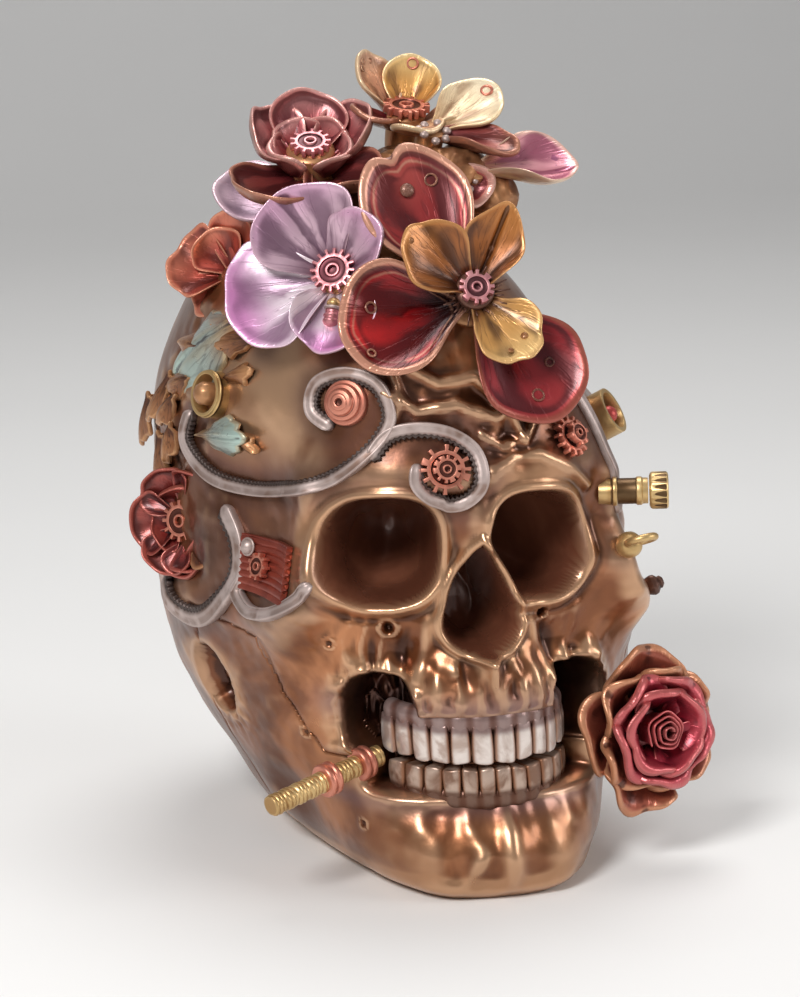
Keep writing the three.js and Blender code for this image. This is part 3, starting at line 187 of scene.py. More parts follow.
def nose_depth(side, z):
    return NOSE_DEPTH * smooth(0.95, 0.6, nose_edge(side, z))


def cheek_edge(side, z):
    across = np.abs(side - CHEEKS_APART) / CHEEK_HALF_WIDTH
    up = np.abs(z - CHEEK_LEVEL) / CHEEK_HALF_HEIGHT
    return (across**CHEEK_SQUARENESS + up**CHEEK_SQUARENESS) ** (1 / CHEEK_SQUARENESS)


def face_at(y):
    """1 on the face, and nothing behind it"""
    return smooth(-0.2 * FACE_REACH, -0.43 * FACE_REACH, y)


def pocket_edge(y, z, half_width, half_height):
    return np.hypot((y / FACE_REACH - POCKET_REACH) / half_width,
                    (z / HEIGHT - POCKET_LEVEL) / half_height)


def bone_rise(x, y, z):
    side = np.abs(x)
    rise = 0
    points = np.stack([side, y, z], -1)
    size = np.array([HALF_WIDTH, FACE_REACH, HEIGHT])
    for swelling in SWELLINGS:
        away = (points / size - swelling[:3]) / swelling[3:6]
        rise = rise + swelling[6] * HALF_WIDTH * np.exp(-(away**2).sum(-1))
    for ridge in RIDGES:
        away = line_distance(points, ridge[:3] * size, ridge[3:6] * size)
        rise = rise + ridge[7] * HALF_WIDTH * bump(away / (ridge[6] * HALF_WIDTH))
    orbit = 1.8 * bump((orbit_edge(x, z) - 1.08) / 0.1) - orbit_depth(x, z)
    nose = 2.2 * bump((nose_edge(side, z) - 1.04) / 0.13) - nose_depth(side, z)
    cheek = -CHEEK_DEPTH * smooth(1, 0.6, cheek_edge(side, z))
    out = side / ARCH_HALF_WIDTH
    mouth = -(5 + 9 * np.minimum(out, 1) ** 2) * smooth(1.3, 1, out)
    mouth = mouth * smooth(SEAT_FOOT, SEAT_FOOT + SEAT_BORDER, z)
    mouth = mouth * smooth(SEAT_TOP, SEAT_TOP - SEAT_BORDER, z)
    pocket = POCKET_DEPTH * smooth(1, 0.7, pocket_edge(y, z, 0.13, 0.06))
    pocket = pocket * smooth(0.38, 0.58, side / HALF_WIDTH)
    return rise + face_at(y) * (orbit + nose + np.minimum(cheek, mouth)) - pocket


def plain_form(turn, rise):
    """Start, direction and reach of the rays, before anything rises from them"""
    turn, rise = np.broadcast_arrays(np.asarray(turn, float), np.asarray(rise, float))
    height = np.minimum(rise, 1) * CROWN_HEIGHT
    climb = np.clip(rise - 1, 0, 1) * np.pi / 2
    start = np.stack([0 * height, 0 * height + AXIS_SET_BACK, height], -1)
    ray = np.stack([np.sin(turn) * np.cos(climb), -np.cos(turn) * np.cos(climb),
                    np.sin(climb)], -1)
    drawn_in = np.where(np.sin(turn) > 0, DRAWN_IN, LET_OUT) * np.sin(turn)
    narrowing = 1 - drawn_in * smooth(0, 0.36, climb / (np.pi / 2))
    out = np.cos(climb) / (plain_reach(turn, height / HEIGHT) * narrowing)
    up = np.sin(climb) / (HEIGHT - CROWN_HEIGHT)
    reach = (out**CROWN_SQUARENESS + up**CROWN_SQUARENESS) ** (-1 / CROWN_SQUARENESS)
    return start, ray, reach


def skull_point(turn, rise, carved=None):
    """Places on the skull, with what carved adds to the solid's form"""
    start, ray, reach = plain_form(turn, rise)
    plain = start + ray * reach[..., None]
    lift = bone_rise(plain[..., 0], plain[..., 1], plain[..., 2])
    if carved is not None:
        lift = lift + carved(turn, rise, plain)
    point = start + ray * (reach + lift)[..., None]
    point[..., 0] += lean_at(point[..., 1], point[..., 2])
    return point


def on_skull(turn_degrees, rise):
    """Places on the skull, with the way that the bone faces there"""
    turn, step = np.radians(turn_degrees), 0.03
    rise = np.asarray(rise, float)
    point = skull_point(turn, rise)
    along = skull_point(turn + step, rise) - skull_point(turn - step, rise)
    upward = skull_point(turn, rise + step) - skull_point(turn, rise - step)
    return point, unit(np.cross(along, upward))


def underneath(mark):
    """Places on the skull where the rays through some points leave it"""
    x = mark[..., 0] - lean_at(mark[..., 1], mark[..., 2])
    level = np.hypot(x, mark[..., 1] - AXIS_SET_BACK)
    turn = np.degrees(np.arctan2(x, AXIS_SET_BACK - mark[..., 1]))
    climb = np.arctan2(mark[..., 2] - CROWN_HEIGHT, level) / (np.pi / 2)
    return on_skull(turn, np.where(climb > 0, 1 + climb, mark[..., 2] / CROWN_HEIGHT))


def frame_along(direction, origin):
    """A frame whose z goes along the direction, with x level"""
    z = unit(direction)
    x = unit(np.cross([0, 0, 1], z))
    y = np.cross(z, x)
    way = np.eye(4)
    way[:3, 0], way[:3, 1], way[:3, 2], way[:3, 3] = x, y, z, origin
    return way


def facing(azimuth, elevation):
    """The way that faces left or right of the front, and up, in degrees"""
    a, e = math.radians(azimuth), math.radians(elevation)
    return np.array([math.sin(a) * math.cos(e), -math.cos(a) * math.cos(e), math.sin(e)])


def place_of(shares):
    return np.array(shares) * np.array([HALF_WIDTH, FACE_REACH, HEIGHT])


def standing(place, lift):
    point, normal = on_skull(*place)
    return frame_along(normal, point + lift * normal)


def shifted(way, x=0, y=0, z=0):
    move = np.eye(4)
    move[:3, 3] = x, y, z
    return way @ move


def turn_x(degrees):
    c, s = math.cos(math.radians(degrees)), math.sin(math.radians(degrees))
    return np.array([[1, 0, 0, 0], [0, c, -s, 0], [0, s, c, 0], [0, 0, 0, 1.0]])


def placed(way, points):
    return points @ way[:3, :3].T + way[:3, 3]


# Workbench: each piece is modelled at the origin or in place, from lengths in millimetres

def numbers(items, field, each=1, kind=np.float32):
    """One field of all vertices, edges or faces"""
    values = np.empty(len(items) * each, kind)
    items.foreach_get(field, values)
    return values.reshape(-1, each) if each > 1 else values


def places(mesh):
    return numbers(mesh.vertices, "co", 3).astype(float)


def set_places(mesh, points):
    mesh.vertices.foreach_set("co", np.asarray(points, np.float32).ravel())
    mesh.update()


def mark(mesh, name, values):
    layer = mesh.attributes.get(name) or mesh.attributes.new(name, "FLOAT", "POINT")
    layer.data.foreach_set("value", np.asarray(values, np.float32).ravel())


def marked(mesh, name):
    return numbers(mesh.attributes[name].data, "value")


def only(*pieces):
    bpy.ops.object.select_all(action="DESELECT")
    for piece in pieces:
        piece.select_set(True)
    bpy.context.view_layer.objects.active = pieces[0]
    return pieces[0]


def started(add, **settings):
    """A new primitive by itself, with its place in its mesh"""
    bpy.ops.object.select_all(action="DESELECT")
    add(**settings)
    bpy.ops.object.transform_apply(location=True, rotation=False, scale=False)
    return bpy.context.active_object


def face_outwards(piece):
    only(piece)
    bpy.ops.object.mode_set(mode="EDIT")
    bpy.ops.mesh.select_all(action="SELECT")
    bpy.ops.mesh.normals_make_consistent(inside=False)
    bpy.ops.object.mode_set(mode="OBJECT")


def drawn(around, along, form):
    """A ball drawn out into a closed form

    form gives the places, and marks on them, for the share round the ball and the share along it.
    """
    piece = started(bpy.ops.mesh.primitive_uv_sphere_add, segments=around, ring_count=along,
                    radius=1)
    ball = places(piece.data)
    level = np.round(np.arccos(np.clip(-ball[:, 2], -1, 1)) / np.pi * along) / along
    round_share = np.round(np.arctan2(ball[:, 1], ball[:, 0]) / (2 * np.pi) * around) / around % 1
    points, marks = form(round_share, level)
    set_places(piece.data, points * MM)
    for name, values in marks.items():
        mark(piece.data, name, values)
    face_outwards(piece)
    piece.data.shade_smooth()
    return piece


# How often the surroundings are evened out to find broad hollows, creases and a trim's hollows
HOLLOW_ROUNDS, CREASE_ROUNDS, TRIM_ROUNDS = 60, 8, 6


def note_hollows(mesh, rounds, name="hollow"):
    """Marks how far each point lies under its surroundings, in millimetres"""
    points = places(mesh)
    a, b = numbers(mesh.edges, "vertices", 2, np.int32).T
    count = len(points)
    near = np.maximum(np.bincount(a, minlength=count) + np.bincount(b, minlength=count), 1)
    soft = points.copy()
    for _ in range(rounds):
        soft = np.stack([
            (np.bincount(a, soft[b, k], count) + np.bincount(b, soft[a, k], count)) / near
            for k in range(3)
        ], -1)
    normals = numbers(mesh.vertex_normals, "vector", 3)
    mark(mesh, name, ((soft - points) * normals).sum(-1) / MM)


def finish_piece(name, parts, nodes, rounds=TRIM_ROUNDS):
    """Joins the parts of one piece, and puts it on the frame in place of its nodes"""
    piece = only(*parts)
    if len(parts) > 1:
        bpy.ops.object.join()
    piece.name = name
    piece.data.name = name
    note_hollows(piece.data, rounds)
    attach(piece, "root")
    if nodes:
        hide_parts(*nodes)
    return piece


# Materials: one method adds any node, and an expression on values adds its Math nodes

class Tone:
    """A socket of a finish that can be reckoned with"""

    def __init__(self, finish, socket):
        self.finish, self.socket = finish, socket

    def _math(self, operation, *values):
        node = self.finish.node("ShaderNodeMath", {"operation": operation},
                                dict(enumerate(values)))
        return Tone(self.finish, node.outputs[0])

    def __add__(self, other):
        return self._math("ADD", self, other)

    def __radd__(self, other):
        return self._math("ADD", other, self)

    def __sub__(self, other):
        return self._math("SUBTRACT", self, other)

    def __rsub__(self, other):
        return self._math("SUBTRACT", other, self)

    def __mul__(self, other):
        return self._math("MULTIPLY", self, other)

    def __rmul__(self, other):
        return self._math("MULTIPLY", other, self)

    def __truediv__(self, other):
        return self._math("DIVIDE", self, other)

    def __rtruediv__(self, other):
        return self._math("DIVIDE", other, self)

    def __neg__(self):
        return self._math("MULTIPLY", self, -1.0)

    def __abs__(self):
        return self._math("ABSOLUTE", self)

    def between(self, low, high):
        """Rises softly from 0 to 1 between two values"""
        node = self.finish.node(
            "ShaderNodeMapRange", {"interpolation_type": "SMOOTHSTEP"},
            {"Value": self, "From Min": low, "From Max": high, "To Min": 0.0, "To Max": 1.0})
        return Tone(self.finish, node.outputs[0])


def paint(red, green, blue):
    """A colour as the eye names it, from 0 to 255"""
    def linear(value):
        value = value / 255
        return value / 12.92 if value <= 0.04045 else ((value + 0.055) / 1.055) ** 2.4
    return (linear(red), linear(green), linear(blue), 1)


class Finish:
    """A finish of the decoration and its nodes"""

    def __init__(self, name, metallic, roughness, coat=0.0):
        self.material = bpy.data.materials.new(name)
        self.material.use_nodes = True
        self.tree = self.material.node_tree
        self.shader = self.tree.nodes["Principled BSDF"]
        self.set(Metallic=metallic, Roughness=roughness)
        self.shader.inputs["Coat Weight"].default_value = coat
        self.shader.inputs["Coat Roughness"].default_value = 0.18
        self.object_place = Tone(self, self.node("ShaderNodeTexCoord").outputs["Object"])

    def node(self, kind, settings=None, sockets=None):
        made = self.tree.nodes.new(kind)
        for name, value in (settings or {}).items():
            setattr(made, name, value)
        for name, value in (sockets or {}).items():
            socket = made.inputs[name]
            if isinstance(value, Tone):
                self.tree.links.new(value.socket, socket)
            else:
                socket.default_value = value
        return made

    def set(self, **sockets):
        for name, value in sockets.items():
            socket = self.shader.inputs[name.replace("_", " ")]
            if isinstance(value, Tone):
                self.tree.links.new(value.socket, socket)
            else:
                socket.default_value = value

    def mark(self, name):
        node = self.node("ShaderNodeAttribute", {"attribute_name": name})
        return Tone(self, node.outputs["Fac"])

    def cloud(self, scale, detail=3.0, distortion=0.0, where=None):
        node = self.node("ShaderNodeTexNoise", {}, {
            "Vector": where or self.object_place, "Scale": scale, "Detail": detail,
            "Distortion": distortion, "Roughness": 0.55})
        return Tone(self, node.outputs["Fac"])

    def point(self, x, y, z):
        return Tone(self, self.node("ShaderNodeCombineXYZ", {}, {0: x, 1: y, 2: z}).outputs[0])

    def petal_place(self):
        """The share along the petal and the share across it, from its own map"""
        place = Tone(self, self.node("ShaderNodeTexCoord").outputs["UV"])
        parts = self.node("ShaderNodeSeparateXYZ", {}, {0: place})
        return Tone(self, parts.outputs[0]), Tone(self, parts.outputs[1])

    def mix(self, share, first, second):
        node = self.node("ShaderNodeMix", {"data_type": "RGBA"}, {0: share, 6: first, 7: second})
        return Tone(self, node.outputs[2])

    def bump(self, height, distance):
        node = self.node("ShaderNodeBump", {}, {
            "Height": height, "Distance": distance * MM, "Strength": 0.5})
        self.set(Normal=Tone(self, node.outputs[0]))


# Camera at the photograph's angle, floor, backdrop and light

PICTURE_WIDTH, PICTURE_HEIGHT = 800, 997
CAMERA_TURN, CAMERA_CLIMB, CAMERA_ROLL = -15, 13, -0.3
CAMERA_DISTANCE, FOCAL_PIXELS, AXIS_PIXEL = 800, 3332, 414
AIM = np.array([0, 0, 79.86])
FILM_WIDTH = 36


def photograph_camera():
    turn, roll = math.radians(CAMERA_TURN), math.radians(CAMERA_ROLL)
    back = facing(CAMERA_TURN, CAMERA_CLIMB)
    right = np.array([math.cos(turn), math.sin(turn), 0])
    up = np.cross(back, right)
    c, s = math.cos(roll), math.sin(roll)
    view = np.eye(4)
    view[:3, 0], view[:3, 1], view[:3, 2] = c * right + s * up, c * up - s * right, back
    view[:3, 3] = (AIM + back * CAMERA_DISTANCE) * MM
    camera = bpy.data.objects.new("camera", bpy.data.cameras.new("camera"))
    bpy.context.scene.collection.objects.link(camera)
    camera.matrix_world = Matrix(view.tolist())
    camera.data.sensor_width = FILM_WIDTH
    camera.data.lens = FOCAL_PIXELS / PICTURE_HEIGHT * FILM_WIDTH
    camera.data.shift_x = (PICTURE_WIDTH / 2 - AXIS_PIXEL) / PICTURE_HEIGHT
    camera.data.clip_start = 0.05
    bpy.context.scene.camera = camera
    bpy.context.scene.view_settings.view_transform = "Standard"


def lamp(name, place, size, power):
    light = bpy.data.lights.new(name, "AREA")
    light.shape, light.size, light.energy = "DISK", size, power
    lamp_object = bpy.data.objects.new(name, light)
    bpy.context.scene.collection.objects.link(lamp_object)
    lamp_object.location = place
    way = Vector((0, 0, 0.09)) - Vector(place)
    lamp_object.rotation_euler = way.to_track_quat("-Z", "Y").to_euler()


def room_light(colour, strength):
    world = bpy.data.worlds.new("studio")
    bpy.context.scene.world = world
    world.use_nodes = True
    background = world.node_tree.nodes["Background"]
    background.inputs["Color"].default_value = colour
    background.inputs["Strength"].default_value = strength


photograph_camera()
lamp("key_softbox", (-0.55, -0.65, 0.75), 0.36, 8.8)
lamp("fill_softbox", (0.85, -0.45, 0.4), 0.5, 2.9)
lamp("top_softbox", (0.1, 0.25, 0.95), 0.5, 3.5)
room_light((0.8, 0.8, 0.82, 1), 0.33)


def floor_and_backdrop():
    """One sheet, level to beyond the decoration, bent up and then upright, in metres"""
    level, bent, upright, width, set_forward = 2.4, 0.9, 1.9, 6, 1.4
    sweep = started(bpy.ops.mesh.primitive_grid_add, x_subdivisions=8, y_subdivisions=60, size=1)
    sweep.name = "floor_sweep"
    flat = places(sweep.data)
    way = (flat[:, 1] + 0.5) * (level + bent + upright)
    bend = np.clip((way - level) / bent, 0, 1) * np.pi / 2
    radius = bent / (np.pi / 2)
    y = np.where(way < level, way, level + radius * np.sin(bend)) - set_forward
    z = radius * (1 - np.cos(bend)) + np.maximum(way - level - bent, 0)
    set_places(sweep.data, np.stack([flat[:, 0] * width, y, z], -1))
    sweep.data.shade_smooth()
    pale = Finish("pale_sweep", metallic=0, roughness=0.7)
    pale.set(Base_Color=pale.mix(pale.cloud(4.0), paint(232, 231, 229), paint(238, 237, 235)))
    sweep.data.materials.append(pale.material)


floor_and_backdrop()

# The casting: cranium and mandible, with the relief that the solids leave out

# Where each crown of half an arch starts and ends, from the middle outwards
UPPER_CROWNS = [0, 0.17, 0.32, 0.47, 0.62, 0.78, 0.95]
LOWER_CROWNS = [0, 0.125, 0.25, 0.39, 0.54, 0.7, 0.88]


def arch_share(x, y):
    """Where a place lies along the arch, from its middle to its ends"""
    return np.arctan2(x, ARCH_MIDDLE - y) / ARCH_SPAN


def crown_middles(ends):
    """The middle and the width of each crown, as shares of half the arch"""
    return [((a + b) / 2, b - a) for a, b in zip(ends[:-1], ends[1:])]


def roots(x, y, z, ends, inner, outer, far):
    """The roots under the bone, from the gum at the inner height to the far height"""
    share = np.abs(arch_share(x, y))
    swell = sum(bump((share - middle) / (0.3 * width)) for middle, width in crown_middles(ends))
    return swell * smooth(inner, outer, z) * smooth(far, (outer + far) / 2, z)


def away_from(points, line):
    """Distances to a line of places on the skull"""
    spots = on_skull(*np.array(line, float).T)[0]
    return np.min([line_distance(points, a, b) for a, b in zip(spots[:-1], spots[1:])], axis=0)


def away_from_spot(points, place):
    return np.linalg.norm(points - on_skull(*place)[0], axis=-1)


def ripple(points, size, octaves=2, shift=0.0):
    flat = points.reshape(-1, 3) / size + shift
    values = [noise.fractal(Vector(p), 1.0, 2.0, octaves) for p in flat]
    return np.array(values).reshape(points.shape[:-1])


def crumple(points, size, shift=0.0):
    flat = points.reshape(-1, 3) / size + shift
    return np.array([abs(noise.noise(Vector(p))) for p in flat]).reshape(points.shape[:-1])


# Folds of the drapery over the brow: line of places, height and reach
FOLDS = [
    ([[-18, 1.2], [-11, 1.16], [-3, 1.17], [5, 1.14], [13, 1.17], [20, 1.22]], 2.3, 1.2),
    ([[-14, 1.27], [-6, 1.22], [2, 1.23], [9, 1.15], [11, 1.08]], 2.0, 1.2),
    ([[2, 1.1], [6, 1.07], [12, 1.09], [17, 1.16]], 1.7, 1.0),
    ([[-22, 1.3], [-16, 1.26], [-14, 1.18], [-17, 1.12]], 1.7, 1.2),
    ([[3, 1.02], [8, 1.05], [14, 1.05], [22, 1.0], [28, 0.95]], 1.4, 1.3),
]
# Small pits in the bone: place, radius and depth
PITS = [([-20, 0.64], 1.2, 2.0), ([15, 0.66], 1.05, 2.0), ([-33, 0.6], 0.8, 0.5),
        ([-42, 0.36], 0.8, 0.6), ([24, 0.3], 0.7, 0.6), ([-28, 0.16], 0.8, 0.5)]


JAW_CORNERS = np.array(JAW_OUTLINE) * [FACE_REACH, HEIGHT]


def jaw_distance(y, z):
    points = np.stack([y, z], -1)
    sides = zip(JAW_CORNERS[:-1], JAW_CORNERS[1:])
    return np.min([line_distance(points, a, b) for a, b in sides], axis=0)


def in_jaw(y, z):
    inside = np.zeros(y.shape, bool)
    for (ay, az), (by, bz) in zip(JAW_CORNERS, np.roll(JAW_CORNERS, -1, axis=0)):
        crosses = (az > z) != (bz > z)
        inside ^= crosses & (y < (by - ay) * (z - az) / (bz - az + 1e-12) + ay)
    return inside


def within(value, low, high, border, far_border=None):
    """1 between two values, and falling off to nothing past them"""
    far_border = border if far_border is None else far_border
    return smooth(low, low + border, value) * smooth(high, high - far_border, value)


def face_carving(plain, side, face):
    """What is carved on the lower face, given as heights on the plain form"""
    x, y, z = plain[..., 0], plain[..., 1], plain[..., 2]
    lift = roots(x, y, z, UPPER_CROWNS, 41.5, 45, 58)
    lift += 0.3 * roots(x, y, z, LOWER_CROWNS, 23, 19.5, 14)
    # Draped folds from the nose down to the gum, and the spine under the nose
    drape = bump((side - 7) / 7) * within(z, 43, 62, 3, 8) * face
    lift += drape * 0.9 * np.abs(np.sin(0.45 * x + 1.6 * ripple(plain, 6, 2, 2.0)))
    lift += 2.4 * bump((x - 0.6) / 1.2) * within(z, 45, 60, 6) * face
    # The chin: a crest that parts in two, a broad hollow on its right, a slight one on its left
    fork = 1.5 + 0.55 * np.maximum(12 - z, 0)
    crests = 1.5 * bump((x - 1.6) / 2.4) + 1.2 * bump((x + fork + 3.4) / 2.3) * smooth(16, 10, z)
    hollows = (1.7 * bump((x + 11 + 0.2 * (z - 12)) / 5.6) + 0.6 * bump((x + 2.6) / 2.4)
               + 0.8 * bump((x - 8.5) / 4.2))
    lift += within(z, 1, 25, 6, 7) * face * (crests - hollows - 1.5)
    # Nasal bones, and the crease between cheek and nose
    lift += 0.9 * bump(x / 2.6) * within(z, 84, 98, 4, 6) * face
    crease_crest = bump((side - 12.5 - 0.25 * (62 - z)) / 1.6)
    lift += 1.1 * crease_crest * within(z, 48, 70, 6, 8) * face
    lift -= 1.6 * bump((side - 16.8 - 0.2 * (60 - z)) / 2.3) * within(z, 44, 66, 8) * face
    # A thin second crease outside the orbits' lips
    under_orbit = smooth(ORBIT_LEVEL + 6, ORBIT_LEVEL - 2, z)
    lift -= face * 0.6 * bump((orbit_edge(x, z) - 1.3) / 0.07) * under_orbit
    return lift


def wrinkles(points, plain, side, face):
    """Wrinkles under the orbits, in pockets and hollows, over the brow and on the flank"""
    z = plain[..., 2]
    flat_folds = plain * [1, 1, 0.5]

    def around(place, reach):
        return bump(away_from_spot(points, place) / reach)

    cheek = around([-25, 0.57], 10) + 0.7 * around([20, 0.56], 8)
    lift = cheek * (0.5 - 1.9 * crumple(flat_folds, 3.8))
    lift += around([-72, 0.4], 7.5) * (1.4 - 4.4 * crumple(plain, 3.0, 7.0))
    hollow = face * smooth(1, 0.8, cheek_edge(side, z))
    lift += hollow * 3.4 * (crumple(flat_folds, 4.5, 3.0) - 0.3)
    lift += 1.3 * face * bump((cheek_edge(side, z) - 1) / 0.3) * ripple(plain, 4.5, 2, 6.0)
    brow = 1.9 * ripple(plain, 6.5, 2, 5.0) - 0.9 * crumple(plain, 7.0, 8.0)
    lift += around([2, 1.14], 13) * brow
    flank = around([-78, 1.24], 15) + around([-95, 1.0], 13)
    lift += flank * (1.8 * ripple(plain, 7.0, 2, 11.0) - 1.2 * crumple(plain, 6.0, 3.0))
    return lift


def seams(plain):
    """Sutures over the back, and the seam between mandible and cranium"""
    x, y, z = plain[..., 0], plain[..., 1], plain[..., 2]
    wiggle = 2.2 * ripple(plain, 3.2, 2, 9.0)
    back_seam = bump((y - 42 - 0.5 * np.abs(z - 128) + wiggle) / 0.55)
    middle_seam = bump((x + 5 + wiggle) / 0.5)
    depth = 0.5 * back_seam * smooth(12, 20, y) * smooth(58, 70, z)
    depth += 0.5 * middle_seam * smooth(6, 16, y) * smooth(118, 124, z)
    return depth + 0.4 * bump(jaw_distance(y, z) / 0.55)


def carving(turn, rise, plain):
    """How far the carved bone rises from the solid's form"""
    x, y, z = plain[..., 0], plain[..., 1], plain[..., 2]
    side, face = np.abs(x), face_at(y)
    points = skull_point(turn, rise)
    lift = face_carving(plain, side, face) + wrinkles(points, plain, side, face)
    for line, height, reach in FOLDS:
        lift += height * bump(away_from(points, line) / reach)
    for place, radius, depth in PITS:
        away = away_from_spot(points, place)
        lip = 0.6 * bump((away - 1.7 * radius) / (0.45 * radius))
        lift += lip - 1.3 * depth * bump(away / radius)
    # Hand-worked unevenness of the bone, calmer on the forehead, the foot and the back
    calm = smooth(1.02, 0.9, rise) * 0.75 + 0.25
    calm = calm * (1 - 0.5 * smooth(30, 20, z)) * (1 - 0.6 * smooth(-12, 18, y))
    lift += calm * (0.6 * ripple(plain, 9, 2) + 0.14 * ripple(plain, 2.6, 1, 4.0))
    # The back is drawn in a little, so that the carving stays within the solid's reach
    return lift - seams(plain) - 0.5 * smooth(40, 62, y)


# Lines of the silver bands: turn in degrees and rise of each place on the skull
BANDS = {
    "brow_scroll": [
        [-21, 1.05], [-17, 1.105], [-11, 1.12], [-4.4, 1.105], [0, 1.06], [0.4, 1],
        [-2.9, 0.955], [-8.4, 0.96], [-12, 1], [-11.7, 1.045]],
    "forehead_scroll": [
        [-29, 1.12], [-34, 1.16], [-33, 1.22], [-26, 1.245], [-19, 1.22], [-16.5, 1.15],
        [-20, 1.08], [-28, 1.01], [-40, 0.96], [-56, 0.93], [-70, 0.95], [-79, 1.02], [-77, 1.11]],
    "cheek_scroll": [
        [-34, 0.765], [-37, 0.72], [-41, 0.685], [-47, 0.66], [-53, 0.66], [-57, 0.69],
        [-54, 0.73]],
    "temple_ring": [
        [-90, 0.66], [-84, 0.6], [-74, 0.59], [-64, 0.64], [-58, 0.72], [-58, 0.8], [-64, 0.88]],
    "temple_strip": [[27, 1.27], [31, 1.2], [34, 1.12], [36, 1.03], [37, 0.94], [38, 0.86]],
}
BROW_GEAR, TEMPLE_GEAR, PANEL, KNOB, RIBBON = ((-6.4, 1.03), (22.5, 1.07), (-48, 0.76),
                                               (-26, 1.18), (-68, 1.17))
NOZZLE, BRASS_BALL, CLAMP, LOWER_BEAD = (35, 0.92), (35, 0.79), (46, 1.08), (34, 1.2)
TEAL_LEAF, FOREHEAD_LEAF, BROW_LEAF = (-58, 1.4), (-72, 1.05), (-52, 1.34)
TRIM_SPOTS = [BROW_GEAR, TEMPLE_GEAR, PANEL, KNOB, RIBBON, NOZZLE, BRASS_BALL, CLAMP, LOWER_BEAD,
              TEAL_LEAF, FOREHEAD_LEAF, BROW_LEAF]


def through(corners, steps):
    """Even steps along the smooth curve through some corners"""
    points = np.array(corners, float)
    points = np.vstack([2 * points[0] - points[1], points, 2 * points[-1] - points[-2]])
    fine = []
    for p0, p1, p2, p3 in zip(points[:-3], points[1:-2], points[2:-1], points[3:]):
        d0, d1, d2 = (np.linalg.norm(b - a) ** 0.5 for a, b in ((p0, p1), (p1, p2), (p2, p3)))
        m1 = ((p1 - p0) / d0 - (p2 - p0) / (d0 + d1) + (p2 - p1) / d1) * d1
        m2 = ((p2 - p1) / d1 - (p3 - p1) / (d1 + d2) + (p3 - p2) / d2) * d1
        t = np.linspace(0, 1, 40, endpoint=False)[:, None]
        fine.append(curve_between(p1, m1, p2, m2, t))
    fine = np.vstack(fine + [points[-2:-1]])
    length = np.concatenate([[0], np.cumsum(np.linalg.norm(np.diff(fine, axis=0), axis=1))])
    even = np.linspace(0, length[-1], steps)
    return np.stack([np.interp(even, length, fine[:, k]) for k in range(3)], -1), length[-1]


def nearest_trim(points):
    """Distances to the bands, gears, fittings and leaves, round which painted shade darkens the
    bone and a lilac tint lies
    """
    spots = np.vstack([through(on_skull(*np.array(line).T)[0], 70)[0] for line in BANDS.values()]
                      + [on_skull(*spot)[0][None] for spot in TRIM_SPOTS])
    away = np.full(len(points), 1e9)
    for spot in spots:
        away = np.minimum(away, np.linalg.norm(points - spot, axis=-1))
    return away


SKULL_COLUMNS, SKULL_RINGS, FOOT_RINGS = 400, 280, 6
# More columns in front than behind, and more rings below the crown's middle than above it
FRONT_CROWDING, WALL_SHARE = 0.46, 0.64


def skull_form(around_share, level):
    foot = FOOT_RINGS / SKULL_RINGS
    even = (around_share * 2 - 1) * np.pi
    turn = even - FRONT_CROWDING * np.sin(even)
    climb = np.clip((level - foot) / (1 - foot), 0, 1)
    rise = np.where(climb < WALL_SHARE, climb / WALL_SHARE,
                    1 + (climb - WALL_SHARE) / (1 - WALL_SHARE))
    points = skull_point(turn, rise, carving)
    under = np.clip(level / foot, 0, 1)
    axis = np.array([0, AXIS_SET_BACK, 0])
    points = np.where((level < foot)[:, None], axis + (points - axis) * under[:, None], points)
    points[:, 2] = np.where(level <= foot, 0, np.maximum(points[:, 2], 0))
    return points, bone_marks(turn, rise, points)


def bone_marks(turn, rise, points):
    """Where the paint changes on the bone, and where shade and highlights are painted on it"""
    start, ray, reach = plain_form(turn, rise)
    x, y, z = (start + ray * reach[:, None]).T
    side, face, degrees = np.abs(x), face_at(y), np.degrees(turn)
    orbit, nose = orbit_edge(x, z), nose_edge(side, z)
    socket = face * np.maximum(smooth(1.07, 0.97, orbit) * smooth(1.12, 1.2, nose),
                               smooth(1.0, 0.92, nose))
    lip = np.maximum(bump((orbit - 1.06) / 0.05), bump((nose - 1.03) / 0.07))
    gum_lines = np.maximum(bump((z - 43.5) / 4.2), 0.9 * bump((z - 21.5) / 2.6))
    gum = smooth(1.15, 0.95, np.abs(arch_share(x, y))) * gum_lines * face
    near = nearest_trim(points)
    panel = smooth(-28, -34, degrees) * smooth(-84, -74, degrees)
    return {
        "socket": socket,
        "lip": face * lip * (1 - socket),
        "cheek": face * smooth(1.04, 0.9, cheek_edge(side, z)),
        "gum": gum + 0.75 * bump(near / 5.5) * smooth(1.4, 4.0, near),
        "trim_shade": bump(near / 4.2),
        "panel": panel * smooth(0.96, 1.02, rise) * smooth(1.5, 1.36, rise),
        "matte": smooth(-40, -18, y) * smooth(66, 54, z),
        "temple": bump(away_from_spot(points, (-46, 0.8)) / 12),
        "pocket": bump(pocket_edge(y, z, 0.12, 0.055)) * smooth(20, 30, side),
        "tuck": bump(away_from_spot(points, (2, 1.14)) / 15),
        "ring_shade": bump(away_from_spot(points, (-72, 0.75)) / 11),
    }


